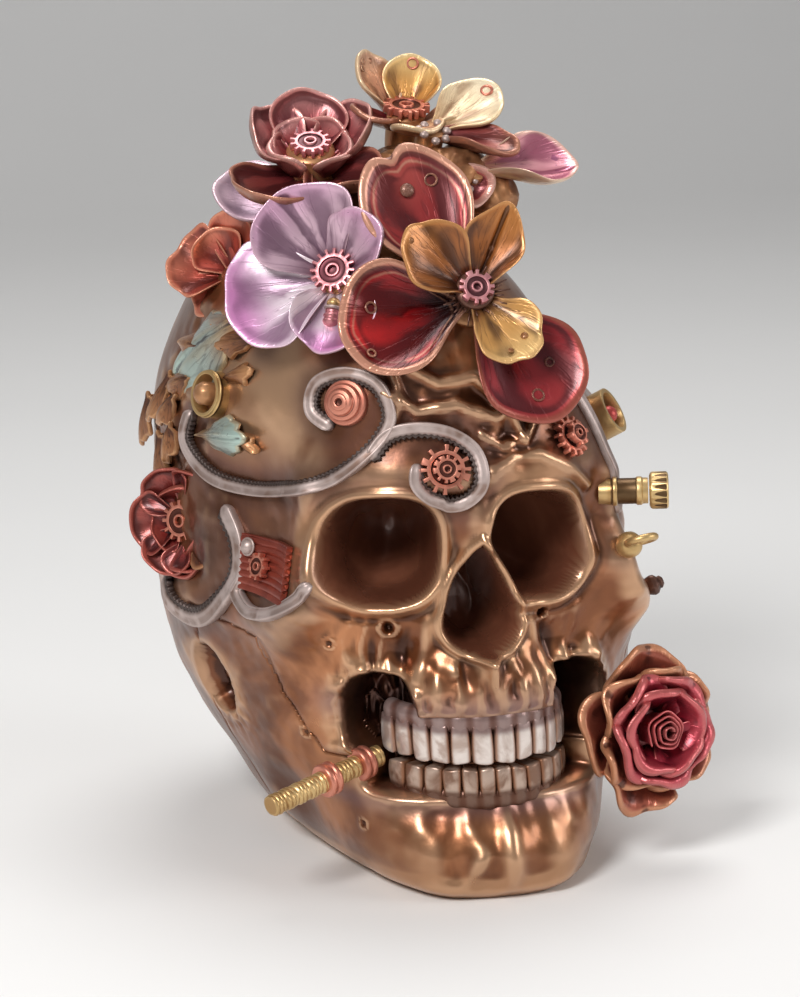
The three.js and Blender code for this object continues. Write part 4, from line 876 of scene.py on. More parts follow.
def close_border(piece):
    """Draws the open border inwards and closes it at the skull's middle"""
    only(piece)
    bpy.ops.object.mode_set(mode="EDIT")
    bpy.context.tool_settings.mesh_select_mode = (True, False, False)
    bpy.ops.mesh.select_all(action="DESELECT")
    bpy.ops.mesh.select_non_manifold(extend=False)
    for share in (0.07, 0.5):
        bpy.ops.mesh.extrude_region_move()
        bpy.ops.object.mode_set(mode="OBJECT")
        chosen = numbers(piece.data.vertices, "select", 1, bool)
        points = places(piece.data)
        axis = points[chosen] * [0, 0, 1] + [0, AXIS_SET_BACK * MM, 0]
        points[chosen] += (axis - points[chosen]) * share
        set_places(piece.data, points)
        bpy.ops.object.mode_set(mode="EDIT")
    bpy.ops.mesh.extrude_region_move()
    bpy.ops.mesh.merge(type="CENTER")
    bpy.ops.object.mode_set(mode="OBJECT")
    face_outwards(piece)


def bone_finish():
    """Bronze paint: painted shade with a dark wash in hollows and creases, and painted highlights
    with rubbed wear on edges
    """
    bone = Finish("cast_bone", metallic=0.7, roughness=0.34, coat=0.35)
    broad, fine = bone.cloud(34.0, 4, 0.5), bone.cloud(170.0, 3, 0.3)
    hollow, crease = bone.mark("hollow"), bone.mark("crease")
    socket, matte = bone.mark("socket"), bone.mark("matte")

    def patchy(high, dark, light):
        return bone.mix(broad.between(0.4, high), paint(*dark), paint(*light))

    pale_panel = bone.mix(bone.cloud(24.0, 3, 0.8).between(0.36, 0.62),
                          paint(124, 74, 42), paint(210, 168, 132))
    colour = patchy(0.62, (128, 76, 44), (188, 126, 84))
    for share, coat in (
            (bone.cloud(15.0, 2, 0.3).between(0.45, 0.64) * 0.7, paint(98, 54, 28)),
            (matte * 0.8, patchy(0.62, (84, 44, 23), (124, 72, 42))),
            (bone.mark("panel") * 0.85, pale_panel),
            (bone.mark("temple") * 0.75, paint(92, 62, 54)),
            # Painted shade with a dark wash: dark brown in the broad hollows, mottled by a cloud
            ((hollow + broad * 0.5 - 0.25).between(0.2, 1.1) * 0.8, paint(70, 34, 17)),
            # Painted highlight: pale tan where the bone stands out over its surroundings
            ((fine * 0.2 - hollow - 0.1).between(0.2, 1.1) * 0.5, paint(214, 168, 128)),
            (bone.mark("gum") * (broad * 0.9 + 0.25), paint(124, 94, 94)),
            (bone.mark("trim_shade") * (fine + 0.35), paint(76, 42, 26)),
            (bone.mark("ring_shade") * (broad + 0.35), paint(66, 34, 20)),
            (bone.mark("pocket") * 0.85, paint(92, 44, 28)),
            (bone.mark("tuck") * broad.between(0.42, 0.6) * 0.5, paint(100, 56, 34)),
            # Painted shade with a dark wash: near-black brown in the fine creases
            ((crease + fine * 0.1 - 0.05).between(0.06, 0.42) * 0.75, paint(58, 28, 14)),
            # Painted highlight: pale colour on the fine crests between the creases
            ((-crease).between(0.05, 0.3) * 0.35, paint(220, 178, 142)),
            (bone.mark("cheek") * 0.85, patchy(0.65, (52, 26, 17), (104, 60, 40))),
            # Gold rim paint with a painted highlight on the rims of the orbits and the nose
            (bone.mark("lip") * 0.35, paint(212, 164, 124)),
            (socket, patchy(0.7, (98, 56, 40), (136, 84, 62)))):
        colour = bone.mix(share, colour, coat)
    dull = fine * 0.12 + matte * 0.12 - socket * 0.08 + bone.mark("trim_shade") * 0.1
    bone.set(Base_Color=colour, Roughness=0.24 + dull)
    bone.set(Metallic=0.76 - socket * 0.58 - matte * 0.08)
    bone.bump(fine * 0.6 + bone.cloud(620.0, 2) * 0.3, 0.2)
    return bone.material


def casting():
    """The bone as one form, parted along the jaw's outline and closed again"""
    skull = drawn(SKULL_COLUMNS, SKULL_RINGS, skull_form)
    skull.data.materials.append(bone_finish())
    note_hollows(skull.data, HOLLOW_ROUNDS)
    note_hollows(skull.data, CREASE_ROUNDS, "crease")
    centres = numbers(skull.data.polygons, "center", 3) / MM
    chosen = in_jaw(centres[:, 1], centres[:, 2])
    for kind in (skull.data.vertices, skull.data.edges):
        kind.foreach_set("select", np.zeros(len(kind), bool))
    skull.data.polygons.foreach_set("select", chosen)
    bpy.context.tool_settings.mesh_select_mode = (False, False, True)
    only(skull)
    bpy.ops.object.mode_set(mode="EDIT")
    bpy.ops.mesh.separate(type="SELECTED")
    bpy.ops.object.mode_set(mode="OBJECT")
    jaw = [piece for piece in bpy.context.selected_objects if piece is not skull][0]
    for piece, name, node in ((skull, "cranium_casting", "cranium"),
                              (jaw, "mandible_casting", "mandible")):
        broad_hollows = marked(piece.data, "hollow")
        close_border(piece)
        finish_piece(name, [piece], [node], 1)
        hollows = marked(piece.data, "hollow")
        hollows[:len(broad_hollows)] = broad_hollows
        mark(piece.data, "hollow", hollows)


casting()


# Petals: a ball drawn out into a closed petal with a rolled rim

# A row gives a petal's turn and tilt in degrees, then its root, length and width as shares of
# the blossom's reach, and how much it is dished, bowed and pointed

def petal_shape(row, reach):
    turn, tilt, root, length, width, dish, bow, point = row
    return turn, tilt, root * reach, length * reach, width * reach, dish, bow, point


def swung(a, b, degrees):
    """Two lengths at a right angle, turned by an angle from the first to the second"""
    c, s = math.cos(math.radians(degrees)), math.sin(math.radians(degrees))
    return a * c - b * s, a * s + b * c


def petal_point(p, q, shape, up):
    """The place at p along the petal and q across it, both from -1 to 1"""
    turn, tilt, root, length, width, dish, bow, point = shape
    along, far = (p + 1) / 2, np.maximum(p, 0) ** 2
    neck = 0.32 + 0.68 * smooth(-0.05, 0.7, along)
    y = width / 2 * neck * (1 - point * 0.55 * far) * q
    z = dish * width * (0.4 * q**2 + 0.17 * far) + bow * length * along**2 + up
    x, z = swung(length * along, z, tilt)
    x, y = swung(root + x, y, turn)
    return np.stack([x, y, z], -1)


def petal(row, reach, way, finish, thickness=1.9, rim=0.45, twin=0.0, notch=0.0,
          ruffle=(5, 0.03, 0.0), wave=(3, 0.04, 0.0), roll=0.0, crease=0.0, fold=0.0, teeth=0,
          around=72, along=34):
    """One petal or leaf

    rim and twin raise one bead or two along its border, and ruffle and wave give how often, how
    far and from where its outline and its border go in and out, and up and down.
    """
    shape = petal_shape(row, reach)
    width = shape[4]
    ruffles, ruffle_depth, ruffle_start = ruffle
    waves, wave_height, wave_start = wave

    def form(around_share, level):
        angle = 2 * np.pi * around_share
        from_tip = np.minimum(angle, 2 * np.pi - angle)
        out = np.sin(np.pi * level)
        edge = 1 + ruffle_depth * (
            np.sin(ruffles * angle + ruffle_start)
            + 0.45 * np.sin((2 * ruffles + 1) * angle + 2.3 * ruffle_start + 1))
        edge = edge - notch * bump(from_tip / 0.2)
        if teeth:
            saw = np.abs(around_share * teeth % 1 * 2 - 1)
            edge = edge - 0.16 * saw * smooth(0.25, 0.6, from_tip)
        p, q = out * edge * np.cos(angle), out * edge * np.sin(angle)
        top = np.where(level > 0.5, 1.0, -1.0)
        bead = 1 + rim * bump((out - 0.93) / 0.07) + twin * bump((out - 0.77) / 0.035) * (top > 0)
        up = top * thickness / 2 * np.abs(np.cos(np.pi * level)) ** 0.5 * bead
        veins = np.sin(7 * q / (0.5 * (p + 1) + 0.35) + 2 * ruffle_start)
        relief = (wave_height * out**3 * np.sin(waves * angle + wave_start)
                  + roll * smooth(0.78, 1, out)
                  - crease * bump(q / 0.09) * smooth(1, 0.7, out)
                  + 0.007 * veins * smooth(1, 0.6, out) * (top > 0)
                  + fold * (np.abs(q) - 0.4))
        points = placed(way, petal_point(p, q, shape, up + width * relief))
        return points, {"rim": out, "inside": (top + 1) / 2,
                        "along": (p + 1) / 2, "across": (q + 1) / 2}

    piece = drawn(around, along, form)
    mesh = piece.data
    corners = numbers(mesh.loops, "vertex_index", 1, np.int32)
    shares = np.stack([marked(mesh, "along"), marked(mesh, "across")], -1)[corners]
    mesh.uv_layers.active.data.foreach_set("uv", shares.astype(np.float32).ravel())
    for name in ("along", "across"):
        mesh.attributes.remove(mesh.attributes[name])
    mesh.materials.append(finish)
    return piece


def petal_spot(row, reach, way, p, q):
    """Frame that stands on the upper side of a petal"""
    shape, half_thickness, step = petal_shape(row, reach), 0.95, 0.05

    def at(a, b):
        return placed(way, petal_point(np.array(a), np.array(b), shape, half_thickness))

    normal = np.cross(at(p + step, q) - at(p - step, q), at(p, q + step) - at(p, q - step))
    return frame_along(normal, at(p, q))


def petal_finish(name, heart, inner, outer, rim, back, vein, veins=0.6, gather=2.4,
                 metallic=0.45, roughness=0.32, speckle=None, rim_from=0.91, rim_share=0.55,
                 twin=0.0):
    """Shaded from its heart outwards, with veins that fan out and a worn rim"""
    heart, inner, outer = paint(*heart), paint(*inner), paint(*outer)
    rim, back, vein = paint(*rim), paint(*back), paint(*vein)
    petals = Finish(name, metallic=metallic, roughness=roughness, coat=0.25)
    along, across = petals.petal_place()
    inside, edge = petals.mark("inside"), petals.mark("rim")
    cloud, fine = petals.cloud(75.0, 3, 0.6), petals.cloud(260.0, 3)
    drift = along + (cloud - 0.5) * 0.35
    colour = petals.mix(drift.between(0.14, 0.5), heart, inner)
    colour = petals.mix(drift.between(0.5, 0.95), colour, outer)
    fan = petals.point((across * 2 - 1) / (along + 0.4) * gather, along * 0.8, cloud * 0.4)
    line = 1 - abs(petals.cloud(1.6, 2, 0.3, fan) - 0.5).between(0.0, 0.03)
    streak = petals.cloud(5.0, 2, 0.0, fan).between(0.52, 0.7)
    to_heart = 1 - along
    lines, streaks = line * to_heart.between(0.05, 0.6), streak * to_heart.between(0.25, 0.85)
    colour = petals.mix((lines * 0.7 + streaks * 0.5) * veins * inside, colour, vein)
    if speckle:
        dots = petals.cloud(420.0, 1).between(0.66, 0.7)
        colour = petals.mix(dots * inside * 0.7, colour, paint(*speckle))
    underside = petals.mix(cloud.between(0.4, 0.7), back, vein)
    colour = petals.mix(inside.between(0.3, 0.7), underside, colour)
    worn = edge + (fine - 0.5) * 0.06 + (cloud - 0.5) * 0.07
    colour = petals.mix(worn.between(rim_from - 0.05, rim_from + 0.05) * rim_share, colour, rim)
    if twin:
        second = 1 - abs(worn - 0.77).between(0.0, 0.035)
        colour = petals.mix(second * inside * twin, colour, rim)
    hollow = petals.mark("hollow")
    # Painted shade: the vein colour in the petal's hollows and where its parts meet
    colour = petals.mix((hollow + fine * 0.06 - 0.03).between(0.015, 0.11) * 0.75, colour, vein)
    # Painted highlight: the rim colour where the petal stands out
    colour = petals.mix((-hollow).between(0.05, 0.2) * 0.25, colour, rim)
    petals.set(Base_Color=colour, Roughness=roughness + (fine - 0.5) * 0.25 + line * 0.08)
    petals.bump(fine * 0.35 - line * 0.3 - streak * 0.2, 0.25)
    return petals.material


def metal_finish(name, bright, plain, shade_and_stain, metallic=0.75, roughness=0.34, wear_and_highlight=0.5,
                 spots=None, tooth=None, depth=0.07):
    """Cast metal, with painted shade and a dark stain where it lies deep, and a painted highlight
    and wear where it stands out
    """
    bright, plain, shade_and_stain = paint(*bright), paint(*plain), paint(*shade_and_stain)
    metal = Finish(name, metallic=metallic, roughness=roughness)
    cloud, fine = metal.cloud(95.0, 4, 0.4), metal.cloud(420.0, 2)
    hollow = metal.mark("hollow")
    colour = metal.mix(cloud.between(0.4, 0.62), plain, bright)
    if spots:
        patches = metal.cloud(140.0, 2).between(0.52, 0.66)
        colour = metal.mix(patches * 0.7, colour, paint(*spots))
    deep = (hollow + fine * 0.05 - 0.025).between(0.07 * depth, depth)
    # Painted shade with a dark stain in the hollows
    colour = metal.mix(deep * 0.9, colour, shade_and_stain)
    # Painted highlight with wear where the metal stands out
    colour = metal.mix((-hollow).between(0.02, 1.4 * depth) * wear_and_highlight, colour, bright)
    if tooth:
        colour = metal.mix(metal.mark("tooth") * 0.85, colour, paint(*tooth))
    metal.set(Base_Color=colour, Roughness=roughness - 0.06 + fine * 0.2)
    metal.bump(fine * 0.5 + cloud * 0.4, 0.12)
    return metal.material


copper_metal = metal_finish("gear_copper", (214, 140, 118), (176, 98, 80), (60, 26, 20))
pink_metal = metal_finish("gear_rosy", (222, 158, 160), (178, 96, 104), (58, 20, 28))
silver_metal = metal_finish("band_silver",
    (196, 178, 172), (152, 132, 124), (78, 52, 40), metallic=0.65, roughness=0.44,
    spots=(122, 90, 72), tooth=(40, 26, 22), depth=0.1)
brass_metal = metal_finish("fitting_brass", (212, 180, 126), (170, 132, 82), (72, 46, 26))
bronze_metal = metal_finish("cast_bronze",
    (198, 148, 104), (140, 92, 62), (52, 28, 18), metallic=0.6, spots=(110, 66, 44))
panel_copper = metal_finish("panel_copper",
    (150, 70, 54), (104, 40, 32), (38, 14, 12), metallic=0.55, spots=(96, 34, 30))
mound_bronze = metal_finish("mound_bronze",
    (178, 126, 86), (122, 78, 52), (56, 30, 20), metallic=0.6, wear_and_highlight=0.35, depth=0.5)
red_metal = metal_finish("bead_red", (206, 90, 80), (158, 44, 44), (60, 14, 14), metallic=0.4)
dark_metal = metal_finish("pendant_dark", (110, 74, 60), (58, 36, 30), (24, 14, 12), metallic=0.5)

# Turned pieces and gears, shaped in edit mode


SHARP_EDGE, SHADED_EDGE = math.radians(35), math.radians(40)


def apply_modifier(piece, kind, **settings):
    only(piece)
    modifier = piece.modifiers.new(kind.lower(), kind)
    for name, value in settings.items():
        setattr(modifier, name, value)
    bpy.ops.object.modifier_apply(modifier=modifier.name)


def break_edges(piece, width, angle=SHARP_EDGE):
    """Bevels the sharp edges"""
    apply_modifier(piece, "BEVEL", width=width * MM, segments=2, limit_method="ANGLE",
                   angle_limit=angle)


def shade_edges(piece):
    only(piece)
    bpy.ops.object.shade_smooth_by_angle(angle=SHADED_EDGE)


def into_place(piece, way, finish):
    """Moves a piece's mesh from the origin to its place, and gives it its finish"""
    matrix = np.array(way, float)
    matrix[:3, 3] *= MM
    piece.data.transform(Matrix(matrix.tolist()))
    piece.data.update()
    piece.data.materials.append(finish)
    return piece


def turned(outline, way, finish, segments=32, bevel=0.18, knurl=None):
    """A turned piece from [radius, height] pairs, drawn up from its foot

    knurl gives the number of its flutes, their depth, and the heights that they run between.
    """
    radius, height = outline[0]
    piece = started(bpy.ops.mesh.primitive_circle_add, vertices=segments, radius=radius * MM,
                    fill_type="NGON", location=(0, 0, height * MM))
    bpy.ops.object.mode_set(mode="EDIT")
    bpy.context.tool_settings.mesh_select_mode = (False, False, True)
    bpy.ops.mesh.select_all(action="SELECT")
    for wide, high in outline[1:]:
        bpy.ops.mesh.extrude_region_move(
            TRANSFORM_OT_translate={"value": (0, 0, (high - height) * MM)})
        bpy.ops.transform.resize(value=(wide / radius, wide / radius, 1))
        radius, height = wide, high
    bpy.ops.object.mode_set(mode="OBJECT")
    face_outwards(piece)
    if bevel:
        break_edges(piece, bevel)
    if knurl:
        count, depth, low, high = knurl
        points = places(piece.data)
        angle = np.arctan2(points[:, 1], points[:, 0])
        flutes = 0.5 + 0.5 * np.cos(count * angle)
        cut = 1 - depth * flutes * within(points[:, 2] / MM, low, high, 0.3)
        points[:, :2] *= cut[:, None]
        set_places(piece.data, points)
    shade_edges(piece)
    return into_place(piece, way, finish)


def ring(major, minor, way, finish, around=28, across=10):
    piece = started(bpy.ops.mesh.primitive_torus_add, major_radius=major * MM,
                    minor_radius=minor * MM, major_segments=around, minor_segments=across)
    piece.data.shade_smooth()
    return into_place(piece, way, finish)


def choose_faces(piece, rule):
    """Selects the faces that a rule picks by their centre and normal, and opens the mesh"""
    bpy.ops.object.mode_set(mode="OBJECT")
    mesh = piece.data
    for kind in (mesh.vertices, mesh.edges):
        kind.foreach_set("select", np.zeros(len(kind), bool))
    for face in mesh.polygons:
        face.select = rule(face.center / MM, face.normal)
    bpy.ops.object.mode_set(mode="EDIT")


def gear(teeth, radius, way, finish):
    """A gear with a stepped web, sunk and raised by insets, and a blind bore"""
    root, thickness = radius * 0.76, 1.8
    piece = started(bpy.ops.mesh.primitive_cylinder_add, vertices=teeth * 3, radius=root * MM,
                    depth=thickness * MM, location=(0, 0, thickness / 2 * MM))
    bpy.context.tool_settings.mesh_select_mode = (False, False, True)

    def is_tooth(centre, normal):
        turn = math.atan2(centre.y, centre.x) % (2 * math.pi) / (2 * math.pi)
        return abs(normal.z) < 0.5 and math.floor(turn * teeth * 3) % 3 == 0

    def is_top(centre, normal):
        return normal.z > 0.9 and math.hypot(centre.x, centre.y) < 0.1

    choose_faces(piece, is_tooth)
    bpy.ops.mesh.extrude_region_move()
    bpy.ops.transform.resize(value=(radius / root, radius / root, 1))
    choose_faces(piece, is_top)
    steps = ((0.2, 0), (0.05, -0.22), (0.3, 0), (0.04, 0.3), (0.12, 0), (0.03, -0.75))
    for border, height in steps:
        bpy.ops.mesh.inset(thickness=border * root * MM, depth=height * thickness * MM)
    bpy.ops.object.mode_set(mode="OBJECT")
    break_edges(piece, 0.035 * radius)
    shade_edges(piece)
    return into_place(piece, way, finish)


# Petal finishes: heart, inner part, outer part, rim, back and veins

gold_petal = petal_finish("petal_gold",
    (58, 28, 14), (148, 86, 38), (182, 116, 56), (206, 150, 94), (130, 80, 42), (50, 24, 14),
    veins=0.8)
gold_petal_pale = petal_finish("petal_gold_pale",
    (84, 44, 18), (204, 150, 84), (226, 184, 120), (216, 168, 112), (140, 88, 48), (64, 34, 18),
    veins=0.75)
crimson_petal = petal_finish("petal_crimson",
    (34, 6, 10), (150, 22, 26), (206, 40, 40), (200, 146, 120), (140, 84, 62), (44, 8, 12),
    veins=0.5, roughness=0.24, rim_from=0.87, twin=0.5, rim_share=0.9)
burgundy_petal = petal_finish("petal_burgundy",
    (80, 18, 26), (152, 48, 48), (174, 74, 68), (206, 152, 126), (148, 96, 72), (60, 14, 20),
    veins=0.6, rim_from=0.87, twin=0.6, rim_share=0.9)
wine_petal = petal_finish("petal_wine",
    (66, 12, 20), (140, 34, 40), (158, 50, 52), (156, 92, 72), (116, 66, 52), (52, 12, 18),
    veins=0.5)
lilac_petal = petal_finish("petal_lilac",
    (120, 86, 100), (206, 172, 186), (206, 158, 186), (214, 180, 190), (150, 106, 116),
    (92, 58, 80), veins=0.55, rim_from=0.95, rim_share=0.35)
lilac_petal_bright = petal_finish("petal_lilac_bright",
    (246, 232, 236), (246, 228, 236), (216, 140, 194), (232, 204, 214), (166, 120, 112),
    (128, 84, 116), veins=0.55, rim_from=0.95, rim_share=0.35)
dusky_petal = petal_finish("petal_dusky",
    (104, 24, 34), (176, 80, 84), (216, 150, 146), (222, 172, 158), (144, 88, 80), (76, 22, 30),
    veins=0.5, rim_share=0.4)
dusky_petal_brown = petal_finish("petal_dusky_brown",
    (104, 24, 36), (146, 66, 62), (140, 84, 66), (190, 132, 106), (118, 68, 56), (66, 24, 26),
    veins=0.5)
amber_petal = petal_finish("petal_amber",
    (140, 80, 36), (224, 162, 86), (238, 198, 130), (242, 218, 172), (186, 128, 82), (84, 44, 24),
    veins=0.8)
amber_petal_rosy = petal_finish("petal_amber_rosy",
    (140, 86, 60), (196, 142, 112), (214, 164, 132), (238, 212, 170), (160, 106, 78), (90, 46, 34),
    veins=0.6, speckle=(110, 50, 50))
cream_petal = petal_finish("petal_cream",
    (176, 128, 84), (234, 208, 168), (244, 226, 192), (236, 206, 160), (186, 146, 98),
    (130, 84, 50), veins=0.85, gather=6.0)
pink_petal_finish = petal_finish("petal_pink",
    (170, 120, 96), (224, 160, 166), (226, 156, 168), (236, 206, 176), (212, 182, 140),
    (140, 60, 90), veins=0.5, speckle=(110, 60, 110))
bud_finish = petal_finish("petal_bud",
    (150, 40, 48), (176, 60, 64), (206, 120, 116), (232, 184, 166), (206, 150, 136), (100, 30, 40),
    veins=0.3)
violet_petal = petal_finish("petal_violet",
    (110, 84, 104), (184, 150, 168), (206, 174, 186), (214, 184, 190), (140, 104, 120),
    (88, 60, 80), veins=0.5, rim_share=0.4)
copper_petal = petal_finish("petal_copper",
    (110, 34, 26), (178, 74, 58), (206, 122, 96), (216, 150, 118), (150, 76, 56), (70, 22, 18),
    veins=0.5)
side_petal = petal_finish("petal_side",
    (60, 14, 16), (126, 42, 38), (164, 78, 68), (176, 98, 82), (116, 56, 44), (46, 12, 14),
    veins=0.45, rim_share=0.4)
side_petal_brown = petal_finish("petal_side_brown",
    (52, 24, 14), (104, 58, 34), (156, 98, 64), (190, 134, 94), (110, 64, 40), (40, 18, 12),
    veins=0.5)
rose_petal = petal_finish("petal_rose",
    (56, 14, 14), (124, 48, 40), (160, 84, 64), (206, 146, 108), (140, 78, 56), (50, 14, 14),
    veins=0.4, rim_share=0.7)
raspberry_petal = petal_finish("petal_raspberry",
    (66, 6, 20), (150, 32, 50), (188, 72, 82), (198, 104, 100), (132, 44, 50), (50, 6, 18),
    veins=0.4)


# Blossoms: how far each reaches, and the running gap to what sits on it
GOLD, CRIMSON, LILAC, DUSKY, AMBER, CREAM = 22, 34, 26, 20, 18.9, 21
PINK, VIOLET, COPPER, SIDE, ROSE = 23, 22, 17, 15.9, 21.3
GAP = 0.3


def blossom_way(place, look):
    return frame_along(facing(*look), place_of(place))


def boss(way, reach, radius, height, foot, finish):
    """The round heart of a blossom, down to its calyx"""
    r, top, low = radius * reach, height * reach, -foot * reach
    outline = [[0.8 * r, low], [r, low + 0.75 * (top - low)], [r, top - 0.12 * r],
               [0.82 * r, top], [0.4 * r, top + 0.05 * r]]
    return turned(outline, way, finish, 36, 0.25)


def heart_gear(blossom, teeth, radius, way, top, finish):
    """A blossom's gear, one running gap above its boss"""
    cog = gear(teeth, radius, shifted(way, z=top + GAP), finish)
    finish_piece(blossom + "_cog", [cog], [blossom + "_gear"])


def beads(spots, outline, finish, segments, bevel):
    return [turned(outline, spot, finish, segments, bevel) for spot in spots]


def stamens(way, count, inner, outer, height, finish):
    """Little pointed stamens round a boss, one modelled and the rest copied"""
    first = started(bpy.ops.mesh.primitive_cone_add, vertices=5, radius1=0.42 * MM,
                    radius2=0.16 * MM, depth=1 * MM, location=(0, 0, 0.5 * MM))
    first.data.shade_smooth()
    parts = []
    for i in range(count):
        turn = 2 * math.pi * (i + 0.3 * math.sin(5.1 * i)) / count
        far = outer * (0.86 + 0.14 * math.sin(3.7 * i + 1))
        high = height * (0.75 + 0.3 * math.sin(2.3 * i))
        start = np.array([inner * math.cos(turn), inner * math.sin(turn), height * 0.2])
        end = np.array([far * math.cos(turn), far * math.sin(turn), high])
        local = frame_along(end - start, start)
        local[:3, 2] *= np.linalg.norm(end - start)
        copy = first.copy()
        copy.data = first.data.copy()
        bpy.context.scene.collection.objects.link(copy)
        parts.append(into_place(copy, way @ local, finish))
    bpy.data.objects.remove(first)
    return parts


def gold_blossom():
    way = blossom_way([0.02, -0.76, 0.92], (-5, 28))
    rows = [[143, 22, 0, 1, 0.8, 0.5, 0, 0], [65, 22, 0, 1, 0.7, 0.55, 0, 0.8],
            [-59, 14, 0, 0.96, 0.78, 0.4, 0, 0]]
    parts = [
        petal(rows[0], GOLD, way, gold_petal, rim=0.15, ruffle=(4, 0.035, 1.0),
              wave=(3, 0.05, 0.5)),
        petal(rows[1], GOLD, way, gold_petal, rim=0.15, ruffle=(3, 0.03, 2.0), wave=(2, 0.07, 0.0),
              crease=0.06),
        petal(rows[2], GOLD, way, gold_petal_pale, rim=0.15, ruffle=(5, 0.04, 0.3),
              wave=(4, 0.035, 1.5)),
        boss(way, GOLD, 0.2, 0.16, 0.14, dark_metal),
    ]
    parts += stamens(way, 34, 3.4, 8.2, 3.8, dark_metal)
    for row, p, q, size in ((rows[2], 0.5, 0.25, 0.9), (rows[2], 0.62, -0.3, 0.7),
                            (rows[0], 0.8, 0.1, 0.8)):
        drop = [[size, 0], [0.9 * size, 0.4 * size], [0.3 * size, 0.6 * size]]
        parts += beads([petal_spot(row, GOLD, way, p, q)], drop, gold_petal_pale, 14, 0.1)
    finish_piece("gold_blossom_petals", parts, ["gold_blossom"])
    heart_gear("gold_blossom", 10, 0.18 * GOLD, way, 0.16 * GOLD, pink_metal)


def crimson_blossom():
    way = blossom_way([0.02, -0.71, 0.905], (-5, 28))
    upper = [116, 6, 0.06, 1.1, 0.82, 0.3, 0, 0]
    left = [196, 8, 0.04, 0.92, 0.86, 0.4, 0, 0]
    right = [-53, 3, 0.04, 0.94, 0.84, 0.3, -0.1, 0]
    parts = [
        petal(upper, CRIMSON, way, burgundy_petal, rim=0.8, twin=0.35, notch=0.14,
              ruffle=(2, 0.02, 1.2), wave=(3, 0.02, 0.4)),
        petal(left, CRIMSON, way, crimson_petal, rim=0.8, twin=0.35, ruffle=(3, 0.03, 0.4),
              wave=(4, 0.03, 2.0)),
        petal(right, CRIMSON, way, wine_petal, rim=0.5, ruffle=(3, 0.025, 1.0),
              wave=(3, 0.03, 0.0)),
        boss(way, CRIMSON, 0.16, 0, 0.4, bronze_metal),
    ]
    drop = [[0.5, 0], [1.5, 0.4], [1.7, 0.9], [1.1, 1.4], [0.3, 1.6]]
    parts += beads([petal_spot(upper, CRIMSON, way, 0.42, 0.02)], drop, burgundy_petal, 20, 0.2)
    for row, finish, spots in (
            (upper, burgundy_petal, ((0.4, -0.42, 1.3), (-0.1, 0.5, 0.7))),
            (left, burgundy_petal, ((0.4, -0.3, 1.2), (0.66, 0.4, 0.9))),
            (right, wine_petal, ((0.3, 0.3, 0.9), (0.55, -0.2, 1.3), (-0.05, 0.2, 0.9)))):
        parts += [ring(size, 0.26, petal_spot(row, CRIMSON, way, p, q), finish)
                  for p, q, size in spots]
    finish_piece("crimson_blossom_petals", parts, ["crimson_blossom"])


def lilac_blossom():
    way = blossom_way([-0.5, -0.49, 0.935], (-33, 30))
    looks = (
        ([131, 26, 0, 0.9, 1.06, 0.45, 0, 0], lilac_petal, (3, 0.03, 0.6), (2, 0.03, 1.0), 0.02),
        ([208, 10, 0, 1.02, 1.12, 0.4, 0, 0], lilac_petal_bright, (4, 0.03, 0), (3, 0.04, 2.2), 0),
        ([52, 34, 0, 0.7, 0.7, 0.4, 0, 0], lilac_petal, (3, 0.05, 1.6), (3, 0.06, 0.0), 0),
        ([284, 14, 0, 0.86, 0.8, 0.7, 0, 0], lilac_petal_bright, (4, 0.04, 2), (3, 0.06, 0.8), 0),
    )
    parts = [petal(row, LILAC, way, finish, rim=0.1, ruffle=ruffle, wave=wave, crease=crease)
             for row, finish, ruffle, wave, crease in looks]
    parts.append(boss(way, LILAC, 0.18, 0.13, 0.5, bronze_metal))
    parts += stamens(way, 22, 4.0, 6.6, 2.6, pink_metal)
    finish_piece("lilac_blossom_petals", parts, ["lilac_blossom"])
    heart_gear("lilac_blossom", 16, 0.2 * LILAC, way, 0.13 * LILAC, pink_metal)
    winged_ornament(shifted(way, 0.05 * LILAC, -0.52 * LILAC, 0.16 * LILAC) @ turn_x(-90))


def winged_ornament(way):
    body = turned([[0.3, 0], [1.5, 0.7], [1.95, 1.6], [1.6, 2.3], [2.0, 2.9], [1.5, 3.5],
                   [1.7, 4.0], [1.1, 4.6], [0.3, 4.9]], way, pink_metal, 24, 0.15)
    collar = ring(1.6, 0.42, shifted(way, z=4.7), silver_metal)
    head = turned([[0.4, 4.6], [1.4, 5.1], [1.7, 5.9], [1.3, 6.8], [0.4, 7.3]], way, brass_metal,
                  24, 0.2)
    finish_piece("lilac_blossom_bee_body", [body, collar, head], ["lilac_blossom_bee"])


def dusky_blossom():
    way = blossom_way([-0.51, -0.11, 1.07], (-15, 62))
    looks = (([95, 46, 0.1, 0.95, 0.98, 0.5, 0, 0], dusky_petal),
             ([168, 44, 0.1, 0.98, 1, 0.5, 0, 0], dusky_petal),
             ([236, 14, 0.1, 1.2, 1.12, 0.5, 0, 0], dusky_petal_brown),
             ([304, 20, 0.1, 1.1, 1.06, 0.5, 0, 0], dusky_petal_brown),
             ([22, 42, 0.1, 1, 0.98, 0.5, 0, 0], dusky_petal))
    parts = [petal(row, DUSKY, way, finish, rim=0.3, ruffle=(3 + i % 3, 0.03, 1.3 * i),
                   wave=(2 + i % 2, 0.07, 0.8 * i), roll=0.05)
             for i, (row, finish) in enumerate(looks)]
    parts += [petal([turn, 58, 0.16, 0.62, 0.74, 0.55, -0.1, 0], DUSKY, way, dusky_petal, rim=0.3,
                    ruffle=(3, 0.04, turn), wave=(3, 0.06, turn))
              for turn in (58, 130, 206, 338)]
    parts.append(boss(way, DUSKY, 0.28, 0.4, 0.7, bronze_metal))
    parts += stamens(shifted(way, z=4), 20, 4.0, 6.6, 4.4, pink_metal)
    finish_piece("dusky_blossom_petals", parts, ["dusky_blossom"])
    heart_gear("dusky_blossom", 13, 0.235 * DUSKY, way, 0.4 * DUSKY, pink_metal)


